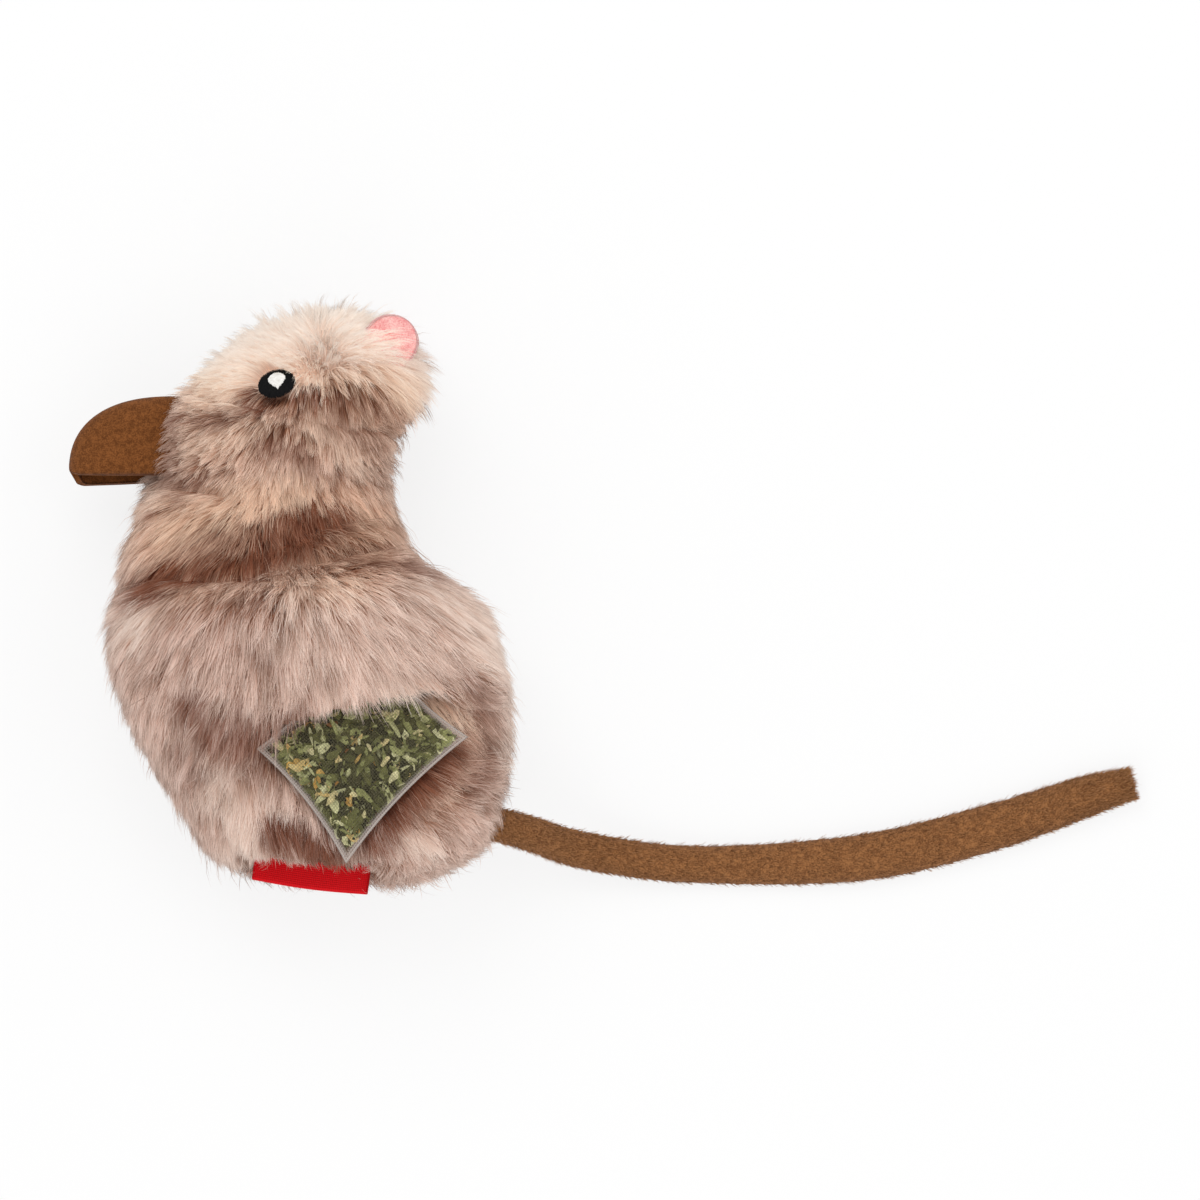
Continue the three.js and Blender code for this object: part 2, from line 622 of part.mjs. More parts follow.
const sealed = (a, size) => clamp((a * size) / (size - 2 * BAG_SEAL), -1, 1);
const puff = (a, b) => BAG_PUFF * swell(sealed(a, BAG_LENGTH), sealed(b, BAG_WIDTH));
const inner = (a, b) => GAP / 2 + puff(a, b);
const outer = (a, b) => inner(a, b) + BAG_MESH;
addPiece(bagJoint, "bag_near_mesh", NYLON, slab(BAG_LENGTH, BAG_WIDTH, outer, inner));
addPiece(bagJoint, "bag_far_mesh", NYLON, slab(BAG_LENGTH, BAG_WIDTH, (a, b) => -inner(a, b), (a, b) => -outer(a, b)));
const leafEdge = 0.05;
const leaves = (a, b) => leafEdge + (BAG_PUFF - GAP) * swell(a, b);
const leafRoom = 2 * BAG_SEAL + 4;
addPiece(
  bagJoint,
  "catnip_leaves",
  LEAF,
  slab(BAG_LENGTH - leafRoom, BAG_WIDTH - leafRoom, leaves, (a, b) => -leaves(a, b)),
);

// The part's frame: the middle of the toy's box, on the floor

const part = new THREE.Group();
part.add(toy);
toy.updateMatrixWorld(true);
const box = new THREE.Box3().setFromObject(toy, true);
const centre = box.getCenter(new THREE.Vector3());
toy.position.set(-centre.x, -centre.y, -box.min.z);

export default part;
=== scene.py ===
# %% [markdown]
# # A catnip mouse of plush, suede and mesh
# The toy lies on its side: a stuffed plush body and head, a suede snout, stitched eyes, soft ears,
# a velour tail, a seam label, and a pocket from which a mesh bag of dried catnip looks out.
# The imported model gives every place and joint, and this lesson grows the soft surfaces round it.
# All sizes are in the toy's own millimetres, with X from the plumb line towards the back,
# Y as the level above the seat and Z up from the floor, and go to metres as each mesh is made.

# %% Load the frame
import json
import math

import bpy
import numpy as np
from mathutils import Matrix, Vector
from mathutils.kdtree import KDTree

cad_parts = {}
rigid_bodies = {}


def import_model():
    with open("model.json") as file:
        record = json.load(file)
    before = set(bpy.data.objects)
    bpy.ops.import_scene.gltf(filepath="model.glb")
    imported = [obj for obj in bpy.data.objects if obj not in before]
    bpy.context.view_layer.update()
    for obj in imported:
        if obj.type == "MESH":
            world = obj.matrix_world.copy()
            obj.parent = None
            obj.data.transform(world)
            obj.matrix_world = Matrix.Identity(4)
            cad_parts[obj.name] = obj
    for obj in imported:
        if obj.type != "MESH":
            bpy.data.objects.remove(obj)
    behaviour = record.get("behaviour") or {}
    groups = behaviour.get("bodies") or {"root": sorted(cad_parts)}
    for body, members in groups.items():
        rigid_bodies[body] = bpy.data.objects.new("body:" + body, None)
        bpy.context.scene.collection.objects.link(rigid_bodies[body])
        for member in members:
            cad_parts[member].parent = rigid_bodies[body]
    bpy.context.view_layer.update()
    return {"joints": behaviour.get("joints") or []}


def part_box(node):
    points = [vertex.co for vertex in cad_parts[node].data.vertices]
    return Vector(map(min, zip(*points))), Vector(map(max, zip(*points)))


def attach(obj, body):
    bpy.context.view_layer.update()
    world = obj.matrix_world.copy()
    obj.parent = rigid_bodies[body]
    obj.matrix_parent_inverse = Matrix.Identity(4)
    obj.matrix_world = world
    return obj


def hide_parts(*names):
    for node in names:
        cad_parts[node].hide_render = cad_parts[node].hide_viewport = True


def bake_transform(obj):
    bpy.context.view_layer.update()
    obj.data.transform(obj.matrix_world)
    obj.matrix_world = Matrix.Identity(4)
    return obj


for leftover in list(bpy.data.objects):
    bpy.data.objects.remove(leftover)
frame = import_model()
JOINTS = {joint["name"]: joint for joint in frame["joints"]}
MM = 0.001
TOY_ORIGIN = np.array([-62.818, -63.378, 0.0])  # the toy's plumb line and seat in the shared frame
rng = np.random.default_rng(20)


def in_frame(points):
    """Toy millimetres to metres in the shared frame."""
    return (np.asarray(points, float) + TOY_ORIGIN) * MM


def in_toy(point):
    """Metres in the shared frame to toy millimetres."""
    return np.array(point, float) / MM - TOY_ORIGIN


# %% [markdown]
# ## Camera, floor and light
# The picture looks straight down on the toy with almost no perspective, so a long lens stands far above it.
# The floor is white card. For the camera it is part glow, so it stays white, and part card,
# so it keeps a shadow.

# %% Camera
PIXEL = 0.216  # mm of the toy for a pixel of the picture
PICTURE = 1200
PLUMB_PX = 310  # the plumb line in the picture
SEAT_PX = 893  # the seat in the picture
LENS = 700
SENSOR = 36
VIEW_HEIGHT = 25  # mm above the floor, where the scale is true
SIGHT = 10  # metres that the camera can see


def from_picture(px, py):
    """A pixel of the picture as X and level in the toy's millimetres."""
    return np.array([(px - PLUMB_PX) * PIXEL, (SEAT_PX - py) * PIXEL])


camera = bpy.data.objects.new("camera", bpy.data.cameras.new("camera"))
bpy.context.scene.collection.objects.link(camera)
camera.data.lens = LENS
camera.data.sensor_width = SENSOR
middle = from_picture(PICTURE / 2, PICTURE / 2)
distance = PICTURE * PIXEL * LENS / SENSOR
camera.location = in_frame([*middle, VIEW_HEIGHT + distance])
camera.data.clip_end = SIGHT
bpy.context.scene.camera = camera
print("camera", camera.location)


# %% Node helpers
WHITE = (1, 1, 1, 1)


def feed(tree, socket, value):
    """Links an output to a socket, or sets the socket's own value."""
    if isinstance(value, bpy.types.NodeSocket):
        tree.links.new(value, socket)
    else:
        socket.default_value = value


def node(tree, kind, inputs=None, **settings):
    """A shader node with its settings. An input is a value, or an output to link."""
    made = tree.nodes.new("ShaderNode" + kind)
    for name, value in settings.items():
        setattr(made, name, value)
    for name, value in (inputs or {}).items():
        feed(tree, made.inputs[name], value)
    return made


def stored(tree, name, kind="Fac"):
    """What a mesh stores at its points under a name."""
    return node(tree, "Attribute", attribute_name=name).outputs[kind]


def srgb(red, green, blue):
    """An sRGB colour from 0 to 255 as the linear colour that a socket takes."""
    share = np.array([red, green, blue]) / 255
    linear = np.where(share <= 0.04045, share / 12.92, ((share + 0.055) / 1.055) ** 2.4)
    return (*linear.tolist(), 1.0)


def ramp(tree, factor, stops):
    """A colour ramp over a factor, with stops of place and colour."""
    made = node(tree, "ValToRGB", {"Fac": factor})
    elements = made.color_ramp.elements
    while len(elements) < len(stops):
        elements.new(0.5)
    for element, (place, colour) in zip(elements, stops):
        element.position = place
        element.color = colour
    return made.outputs["Color"]


def blend_colours(tree, factor, first, second, mode="MIX"):
    """Two colours mixed by a factor. The Mix node keeps its colour sockets at these places."""
    made = node(tree, "Mix", data_type="RGBA", blend_type=mode)
    for socket, value in zip((0, 6, 7), (factor, first, second)):
        feed(tree, made.inputs[socket], value)
    return made.outputs[2]


def reckon(tree, kind, first, second):
    """Two values put through a kind of arithmetic."""
    made = node(tree, "Math", {0: first, 1: second}, operation=kind)
    return made.outputs[0]


def new_finish(name, roughness, gloss):
    """A material, its node tree and its Principled shader."""
    material = bpy.data.materials.new(name)
    material.use_nodes = True
    shader = material.node_tree.nodes["Principled BSDF"]
    shader.inputs["Roughness"].default_value = roughness
    shader.inputs["Specular IOR Level"].default_value = gloss
    return material, material.node_tree, shader


def bump(tree, height, strength, distance):
    """A normal that follows a height, with the distance in mm."""
    values = {"Height": height, "Strength": strength, "Distance": distance * MM}
    return node(tree, "Bump", values).outputs["Normal"]


# %% Light
SKY = 0.55
AIM = (-0.03, 0, 0.02)  # where the lamps point, in metres
# Name, place in metres, width in metres and power in watts
SOFTBOXES = [
    ("softbox_top", (-0.25, 0.55, 0.75), 0.6, 3.2),
    ("softbox_fill", (0.5, 0.1, 0.7), 0.7, 1.7),
    ("softbox_front", (-0.1, -0.6, 0.45), 0.6, 1.5),
]


def white_to_the_eye(tree):
    """1 for rays from the camera, from gloss and through clear sheets, else 0."""
    path = node(tree, "LightPath").outputs
    pair = reckon(tree, "MAXIMUM", path["Is Camera Ray"], path["Is Glossy Ray"])
    return reckon(tree, "MAXIMUM", pair, path["Is Transmission Ray"])


world = bpy.data.worlds.new("studio")
bpy.context.scene.world = world
world.use_nodes = True
sky = world.node_tree
lit = sky.nodes["Background"]
lit.inputs["Color"].default_value = WHITE
lit.inputs["Strength"].default_value = SKY
white = node(sky, "Background", {"Color": WHITE, "Strength": 1.0})
backdrop = node(sky, "MixShader", {0: white_to_the_eye(sky), 1: lit.outputs[0], 2: white.outputs[0]})
sky.links.new(backdrop.outputs[0], sky.nodes["World Output"].inputs["Surface"])

for name, place, size, power in SOFTBOXES:
    lamp = bpy.data.lights.new(name, "AREA")
    lamp.size = size
    lamp.energy = power
    box = bpy.data.objects.new(name, lamp)
    bpy.context.scene.collection.objects.link(box)
    box.location = place
    box.rotation_mode = "QUATERNION"
    box.rotation_quaternion = (Vector(AIM) - Vector(place)).to_track_quat("-Z", "Y")
bpy.context.scene.view_settings.view_transform = "Standard"
print("softboxes", len(SOFTBOXES))

# %% Floor
FLOOR_SIZE = 4000
GLOW = 0.8  # share of the floor that glows for the camera


def mesh_piece(name, points, faces, material, smooth=True):
    """A mesh object from toy millimetres."""
    mesh = bpy.data.meshes.new(name)
    mesh.from_pydata(in_frame(points).tolist(), [], [list(face) for face in faces])
    mesh.materials.append(material)
    mesh.polygons.foreach_set("use_smooth", [smooth] * len(mesh.polygons))
    mesh.update()
    piece = bpy.data.objects.new(name, mesh)
    bpy.context.scene.collection.objects.link(piece)
    return piece


def store(mesh, name, values):
    """Stores a value at each point of a mesh, for its finish to read."""
    flat = np.asarray(values, np.float32).ravel()
    mesh.attributes.new(name, "FLOAT", "POINT").data.foreach_set("value", flat)


card, tree, shader = new_finish("white_card", 0.9, 0.1)
shader.inputs["Base Color"].default_value = (0.93, 0.93, 0.93, 1)
glow = node(tree, "Emission", {"Color": WHITE, "Strength": 1.0})
share = reckon(tree, "MULTIPLY", white_to_the_eye(tree), GLOW)
both = node(tree, "MixShader", {0: share, 1: shader.outputs[0], 2: glow.outputs[0]})
tree.links.new(both.outputs[0], tree.nodes["Material Output"].inputs["Surface"])
half = FLOOR_SIZE / 2
corners = [(-half, -half, 0), (half, -half, 0), (half, half, 0), (-half, half, 0)]
floor = mesh_piece("floor", corners, [(0, 1, 2, 3)], card, smooth=False)
print("floor", FLOOR_SIZE, "mm across")

# %% [markdown]
# ## The stuffed form
# Two plush panels are sewn round a plump filling, so each level of the toy is a rounded slice.
# Modelling it as a function of the level keeps it smooth: the outline gives each slice its width,
# and the filling gives it its thickness. The side that it lies on is flatter than the side that shows.

# %% Form as a function of the level
# Level above the seat, reach towards the face, reach towards the back
OUTLINE = [
    (0, 26.2, 39.5), (15.8, 26.9, 41.2), (26.6, 33.2, 43.4), (39.5, 40.6, 43.8), (50, 43.6, 41.6),
    (59, 44.1, 39.6), (63.3, 43.2, 35), (67.6, 41.9, 27.8), (72, 40.8, 23.2), (80.6, 38.4, 19.7),
    (90, 36, 18.5), (97.8, 34, 19.3), (102.2, 32.4, 20.4), (106.5, 30, 24.8), (110.8, 25.9, 26),
    (119.4, 22, 28), (127, 18.5, 27.5),
]
# Level and thickness
FILLING = [(0, 46), (26, 50), (50, 53), (70, 50), (90, 42), (108, 44), (127, 38)]
HEIGHT = 127
SEAT_ROUND, CROWN_ROUND = 16, 20  # radii of the outline at its ends
SEAT_BLUNT, CROWN_BLUNT = 14, 17  # radii of the ends seen from the side
NEAR_POWER, FAR_POWER = 2.0, 2.8  # how square the slices are
SETTLE = 0.5  # the plush is pressed flat where it lies
PILE = 7  # from the cloth to the tips of the pile, at the outline
FACE_PILE = 4.8  # the same where the pile lies flat, on the broad faces
SLOPE_STEP = 0.5  # to either side, where a slope is measured


def smooth_through(rows):
    """A function of the level that runs smoothly through rows of level and values."""
    table = np.array(rows, float)
    at, values = table[:, 0], table[:, 1:]
    slopes = np.zeros_like(values)
    slopes[1:-1] = (values[2:] - values[:-2]) / (at[2:] - at[:-2])[:, None]

    def value(level):
        level = np.clip(np.asarray(level, float), at[0], at[-1])
        i = np.clip(np.searchsorted(at, level, side="right") - 1, 0, len(at) - 2)
        span = at[i + 1] - at[i]
        t = ((level - at[i]) / span)[..., None]
        span = span[..., None]
        start = values[i] * (2 * t**3 - 3 * t**2 + 1) + slopes[i] * span * (t**3 - 2 * t**2 + t)
        end = values[i + 1] * (3 * t**2 - 2 * t**3) + slopes[i + 1] * span * (t**3 - t**2)
        return start + end

    return value


outline_at = smooth_through(OUTLINE)
filling_at = smooth_through(FILLING)


def round_end(distance, radius):
    """Share of the full width at a distance from a rounded end."""
    share = np.clip(distance / max(radius, 1), 0, 1)
    return np.sqrt(1 - (1 - share) ** 2)


def form_at(level, inset):
    """Middle, half width, half thickness and seam height of the slice at a level."""
    level = np.asarray(level, float)
    front, back = np.moveaxis(outline_at(level), -1, 0)
    thick = filling_at(level)[..., 0]
    low, high = level - inset, HEIGHT - inset - level
    outline = round_end(low, SEAT_ROUND - inset) * round_end(high, CROWN_ROUND - inset)
    swell = round_end(low, SEAT_BLUNT - inset) * round_end(high, CROWN_BLUNT - inset)
    half = ((front + back) / 2 - inset) * outline
    return (back - front) / 2, half, (thick / 2 - inset) * swell, thick / 2 - SETTLE


def surface_z(x, level, side, inset):
    """Height above the floor of the near side, 1, or the far side, -1."""
    centre, half, depth, seam = form_at(level, inset)
    power = NEAR_POWER if side > 0 else FAR_POWER
    across = np.minimum(1, np.abs(x - centre) / np.maximum(half, 1e-6))
    return seam + side * depth * (1 - across**power) ** (1 / power)


def past_outline(points):
    """How far points lie outside the toy's outline, seen from above."""
    step = SLOPE_STEP
    level = np.clip(points[:, 1], step, HEIGHT - step)
    past = np.maximum(points[:, 1] - HEIGHT, -points[:, 1])
    for side in (-1, 1):
        edges = []
        for at in (level - step, level, level + step):
            centre, half = form_at(at, 0)[:2]
            edges.append(side * centre + half)
        slope = (edges[2] - edges[0]) / (2 * step)
        past = np.maximum(past, (side * points[:, 0] - edges[1]) / np.sqrt(1 + slope**2))
    return past


def unit(vectors):
    length = np.linalg.norm(vectors, axis=-1, keepdims=True)
    return vectors / np.maximum(length, 1e-9)


def surface_axes(x, level, side, inset):
    """Place on the plush, and the directions right, up and out of it."""
    step = SLOPE_STEP
    slope_x = surface_z(x + step, level, side, inset) - surface_z(x - step, level, side, inset)
    slope_y = surface_z(x, level + step, side, inset) - surface_z(x, level - step, side, inset)
    out = unit(np.array([-slope_x, -slope_y, 2 * step])) * side
    right = unit(np.array([2 * step, 0, slope_x]))
    return np.array([x, level, surface_z(x, level, side, inset)]), right, np.cross(out, right), out


# %% [markdown]
# ## The pocket's frame
# The flap's hinge and the bag's slide say where the pocket is: U runs along its mouth, V into it,
# and W out of it. The cloth has to rise over the pocket, lie low under the bag, and leave the mouth open.

# %% Pocket and bag frames
FLAP_TOP = 14  # hinge line, from the pocket's origin into it
FLAP_BOTTOM = 1
FLAP_HALF = 20.5
HINGE_RISE = 7.8  # hinge line above the pocket's middle
POCKET_MOUTH, POCKET_END, POCKET_DEPTH = 50, 28, 24
POCKET_U = -unit(np.array(JOINTS["flap_lift"]["axis"], float))
POCKET_V = unit(np.array(JOINTS["bag_slide"]["axis"], float))
POCKET_W = np.cross(POCKET_U, POCKET_V)
POCKET_AXES = np.array([POCKET_U, POCKET_V, POCKET_W])
POCKET_ORIGIN = in_toy(JOINTS["flap_lift"]["pos_m"]) - FLAP_TOP * POCKET_V - HINGE_RISE * POCKET_W
BAG_LENGTH, BAG_WIDTH, BAG_PUFF, BAG_SEAL = 38, 31, 2.8, 1.3
BAG_TURN, BAG_OUT, BAG_ASIDE = math.radians(32), 7.6, -0.5
BAG_GATHER = 4.5  # how far the hidden end draws the bag's lower side in
BAG_X = math.cos(BAG_TURN) * POCKET_U + math.sin(BAG_TURN) * POCKET_V
BAG_Y = math.cos(BAG_TURN) * POCKET_V - math.sin(BAG_TURN) * POCKET_U
BAG_AXES = np.array([BAG_X, BAG_Y, POCKET_W])
BAG_HALVES = np.array([BAG_LENGTH / 2, BAG_WIDTH / 2])
BAG_ORIGIN = POCKET_ORIGIN + BAG_ASIDE * POCKET_U - BAG_OUT * POCKET_V


def pocket_place(points):
    """Places of the toy in the pocket's own frame."""
    return (points - POCKET_ORIGIN) @ POCKET_AXES.T


def bag_gathered(shares):
    """How far along X the gathered end moves a place, from its shares of the bag's halves."""
    return BAG_GATHER * np.clip((1 - shares[..., 0]) / 2, 0, 1) * np.clip((1 + shares[..., 1]) / 2, 0, 1)


def outside_bag(points):
    """Distance from the bag's outline, less than 0 inside of it, seen along W."""
    place = ((points - BAG_ORIGIN) @ BAG_AXES.T)[..., :2]
    place[..., 0] -= bag_gathered(place / BAG_HALVES)
    past = np.abs(place) - BAG_HALVES
    beyond = np.linalg.norm(np.maximum(past, 0), axis=-1)
    return beyond + np.minimum(past.max(-1), 0)


def ease(low, high, value):
    """A soft step from 0 to 1 between a low and a high value."""
    t = np.clip((value - low) / (high - low), 0, 1)
    return t * t * (3 - 2 * t)


# %% [markdown]
# ## The cloth under the pile
# The plush has a knitted backing. It shows only where the hairs part, but every hair is rooted on it,
# so it is made first, as one grid of slices. Over the pocket it is lifted, and under the bag
# it is pressed in. Folds that the filling leaves at the neck and under the eye are grooves,
# drawn into it along a few strokes.

# %% Strokes
# Half width in pixels, depth in mm, then the pixels that the fold runs through
FOLDS = [
    (13, 1.8, (215, 402), (290, 406), (350, 412), (410, 428)),
    (12, 2.2, (275, 550), (310, 530), (345, 522)),
    (14, 2.8, (125, 596), (175, 574), (250, 578), (300, 566)),
    (12, 1.2, (300, 566), (360, 560), (430, 566)),
    (12, 1.5, (140, 500), (190, 486), (230, 492)),
]


def from_stroke(places, stroke):
    """Distance of places of X and level from a stroke through pixels of the picture."""
    line = np.array([from_picture(*point) for point in stroke])
    least = np.full(len(places), np.inf)
    for start, end in zip(line[:-1], line[1:]):
        run = end - start
        t = np.clip((places - start) @ run / (run @ run), 0, 1)
        least = np.minimum(least, np.linalg.norm(places - start - t[:, None] * run, axis=1))
    return least


def painted(strokes, places):
    """The strongest of some soft strokes at places of X and level."""
    strongest = np.zeros(len(places))
    for half, strength, *stroke in strokes:
        share = from_stroke(places, stroke) / (half * PIXEL)
        strongest = np.maximum(strongest, strength * (1 - ease(0.3, 1.6, share)))
    return strongest


# %% Grid of slices
SLICES, AROUND = 170, 220
POLE = 0.001  # from the form's ends to the first and last slice
POCKET_SWELL, POCKET_SKIRT = 5.2, 4  # how far the pocket lifts the cloth, and how far it does beside it
MELT = 4  # how softly the lifted cloth runs into the rest
SWELL_FADE = 9  # how far past the pocket's end the lift runs out
BED = 2.4  # cloth below the bag's edge
BED_SLOPE, BED_DIP = 0.6, 0.4  # how the bed rises round the bag and sinks under it, for each mm
TORN = 3.5  # cells that a step in the cloth stretches more than this are left out

share = np.linspace(0, 1, SLICES)
share = 0.4 * share + 0.6 * (1 - np.cos(np.pi * share)) / 2
levels = PILE + POLE + share * (HEIGHT - 2 * PILE - 2 * POLE)
angles = np.linspace(0, 2 * np.pi, AROUND, endpoint=False)
centre, half, depth, seam = (value[:, None] for value in form_at(levels, PILE))
filled = filling_at(levels) / 2
depth = depth * (filled - FACE_PILE) / (filled - PILE)
power = np.where(np.cos(angles) >= 0, NEAR_POWER, FAR_POWER)
wide = np.sign(np.sin(angles)) * np.abs(np.sin(angles)) ** (2 / power)
tall = np.sign(np.cos(angles)) * np.abs(np.cos(angles)) ** (2 / power)
grid = np.stack(np.broadcast_arrays(centre + half * wide, levels[:, None], seam + depth * tall), -1)


def shaped_by_pocket(points):
    """The near cloth, lifted by the pocket and pressed in by the bag."""
    u, v, w = np.moveaxis(pocket_place(points), -1, 0)
    width = POCKET_MOUTH + (POCKET_END - POCKET_MOUTH) * np.clip(v / POCKET_DEPTH, 0, 1)
    swell = POCKET_SWELL * (1 - (u / (width / 2 + POCKET_SKIRT)) ** 2)
    mix = np.clip(0.5 + (swell - w) / (2 * MELT), 0, 1)
    lifted = w + (swell - w) * mix + MELT * mix * (1 - mix)
    over = (v >= FLAP_BOTTOM) * (1 - ease(POCKET_DEPTH, POCKET_DEPTH + SWELL_FADE, v))
    over = over * (1 - ease(width / 2 + 2, width / 2 + 10, np.abs(u)))
    raised = w + (lifted - w) * over
    apart = outside_bag(points)
    bed = -BED - BED_DIP * np.clip(-apart, 0, 5) + BED_SLOPE * np.maximum(apart, 0)
    pressed = np.minimum(w, bed)
    level_w = np.where(v >= FLAP_BOTTOM, raised, pressed)
    return points + (level_w - w)[..., None] * POCKET_W


def grid_normals():
    """Directions out of the cloth at each point of the grid."""
    along_slice = np.roll(grid, -1, 1) - np.roll(grid, 1, 1)
    return unit(np.cross(along_slice, np.gradient(grid, axis=0)))


near = np.cos(angles) > 0.05
groove = painted(FOLDS, grid.reshape(-1, 3)[:, :2]).reshape(SLICES, AROUND)
groove *= ease(-0.1, 0.5, np.cos(angles))
grid = grid - groove[..., None] * grid_normals()
grid[:, near] = shaped_by_pocket(grid[:, near])
grid_normal = grid_normals()

corner = np.arange(SLICES * AROUND).reshape(SLICES, AROUND)
following = np.roll(corner, -1, 1)
cells = np.stack([corner[:-1], following[:-1], following[1:], corner[1:]], -1).reshape(-1, 4)
points, normals = grid.reshape(-1, 3), grid_normal.reshape(-1, 3)
cell_points = points[cells]
cell_middle = cell_points.mean(1)
cell_u, cell_v = pocket_place(cell_middle).T[:2]
diagonals = cell_points[:, 2] - cell_points[:, 0], cell_points[:, 3] - cell_points[:, 1]
cell_area = np.linalg.norm(np.cross(*diagonals), axis=1) / 2
cell_up = normals[cells].mean(1)[:, 2]
cell_near = cell_up > -0.1
stretched = np.ptp(pocket_place(cell_points)[..., 2], axis=1) > TORN
at_mouth = cell_near & (np.abs(cell_v - FLAP_BOTTOM) < 2) & (np.abs(cell_u) < FLAP_HALF + 0.5)
cell_torn = stretched & at_mouth
cell_flap = cell_near & (np.abs(cell_u) < FLAP_HALF) & (cell_v > FLAP_BOTTOM) & (cell_v < FLAP_TOP)
cell_flap &= ~cell_torn
print("slices", SLICES, "cells", len(cells), "on the flap", cell_flap.sum(), "torn", cell_torn.sum())

# %% [markdown]
# ## Shared finishes
# Suede, velour, brushed felt and knitted backing are all cloth with a nap: small clouds of lighter
# and darker pile and a fine grain. One node group makes that, and each cloth sets its own colours and sizes.
# Woven pieces share a second group, which crosses two sets of threads.


# %% Nap and weave groups
def new_group(name, inputs, outputs):
    """A node group with the outputs of its input node and the inputs of its output node."""
    group = bpy.data.node_groups.new(name, "ShaderNodeTree")
    for label, kind, value in inputs:
        socket = group.interface.new_socket(label, in_out="INPUT", socket_type="NodeSocket" + kind)
        if value is not None:
            socket.default_value = value
    for label, kind in outputs:
        group.interface.new_socket(label, in_out="OUTPUT", socket_type="NodeSocket" + kind)
    return group, group.nodes.new("NodeGroupInput").outputs, group.nodes.new("NodeGroupOutput").inputs


nap, taken, given = new_group(
    "nap",
    [("Dark", "Color", (0, 0, 0, 1)), ("Light", "Color", WHITE),
     ("Clouds", "Float", 200.0), ("Grain", "Float", 3000.0)],
    [("Color", "Color"), ("Height", "Float")],
)
where = node(nap, "TexCoord").outputs["Object"]
cloudy = {"Scale": taken["Clouds"], "Detail": 4.0, "Roughness": 0.6}
clouds = node(nap, "TexNoise", {"Vector": where, **cloudy})
grain = node(nap, "TexNoise", {"Vector": where, "Scale": taken["Grain"], "Detail": 2.0})
mixed = reckon(nap, "ADD", clouds.outputs["Fac"], grain.outputs["Fac"])
spread = node(nap, "MapRange", {"Value": mixed, "From Min": 0.8, "From Max": 1.2}).outputs[0]
nap.links.new(blend_colours(nap, spread, taken["Dark"], taken["Light"]), given["Color"])
nap.links.new(mixed, given["Height"])

weave, taken, given = new_group(
    "weave",
    [("Place", "Vector", None), ("Threads", "Float", 2.5)],
    [("Height", "Float"), ("Cover", "Float")],
)
# Place is in millimetres along both sets of threads
counted = node(weave, "VectorMath", {0: taken["Place"], "Scale": taken["Threads"]}, operation="SCALE")
across = node(weave, "SeparateXYZ", {0: counted.outputs[0]})
ridges = []
for axis in ("X", "Y"):
    turn = reckon(weave, "MULTIPLY", across.outputs[axis], math.tau)
    wave = node(weave, "Math", {0: turn}, operation="COSINE").outputs[0]
    ridges.append(node(weave, "MapRange", {"Value": wave, "From Min": -1.0}).outputs[0])
weave.links.new(reckon(weave, "ADD", *ridges), given["Height"])
weave.links.new(reckon(weave, "MAXIMUM", *ridges), given["Cover"])


def place_group(tree, group, inputs):
    """A group placed in a material with its own values."""
    made = node(tree, "Group", node_tree=group)
    for name, value in inputs.items():
        feed(tree, made.inputs[name], value)
    return made.outputs


def napped(name, dark, light, clouds, grain, depth, sheen=0.0):
    """A cloth with a nap: colours, cloud and grain sizes in mm, and depth of the grain in mm."""
    material, tree, shader = new_finish(name, 0.9, 0.15)
    sizes = {"Clouds": 1 / (clouds * MM), "Grain": 1 / (grain * MM)}
    made = place_group(tree, nap, {"Dark": dark, "Light": light, **sizes})
    tree.links.new(made["Color"], shader.inputs["Base Color"])
    tree.links.new(bump(tree, made["Height"], 0.6, depth), shader.inputs["Normal"])
    shader.inputs["Sheen Weight"].default_value = sheen
    shader.inputs["Sheen Roughness"].default_value = 0.5
    return material


backing = napped("plush_backing", srgb(112, 78, 62), srgb(150, 112, 92), 6, 0.8, 0.3)
knit = backing.node_tree
knit_base = knit.nodes["Principled BSDF"].inputs["Base Color"]
knit_brown = knit_base.links[0].from_socket
knit_pale = blend_colours(knit, stored(knit, "bleach"), knit_brown, srgb(236, 208, 188))
knit.links.new(knit_pale, knit_base)
print("groups", nap.name, weave.name)


# %% Cloth pieces
def part_of_grid(name, chosen, material, rims=()):
    """A piece of the chosen cells, closed over rims of the grid."""
    used, renumbered = np.unique(cells[chosen], return_inverse=True)
    caps = [np.searchsorted(used, rim).tolist() for rim in rims]
    return mesh_piece(name, points[used], [*renumbered.reshape(-1, 4).tolist(), *caps], material)


skin = part_of_grid("plush_skin", ~cell_flap & ~cell_torn, backing, rims=(corner[0, ::-1], corner[-1]))
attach(skin, "plush_body")
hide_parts("body_near_panel", "body_far_panel", "head_near_panel", "head_far_panel", "fibre_stuffing")

flap_skin = part_of_grid("flap_skin", cell_flap, backing)
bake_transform(flap_skin)
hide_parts("pocket_flap")
print("skin faces", len(skin.data.polygons), "flap faces", len(flap_skin.data.polygons))

# %% [markdown]
# ## The lie of the pile
# Long pile doesn't stand straight. A comb has drawn it away from the face, down the flanks and out
# at the edges. A few strokes of the comb say which way it lies, and the hairs between them follow
# the nearest strokes.
# The brown bands are dyed into the hairs in the same way, by strokes with a width and a strength. Beside the
# bag and under its fringe, the strokes also paint the bag's shadow on the pile.

# %% Comb strokes and bands
COMB_REACH, COMB_REACH_HEAD = 46 * PIXEL, 27 * PIXEL
LEAST_COMBED = 0.55  # even where strokes oppose each other, the pile lies over to some side
HEAD_LEVEL = 84
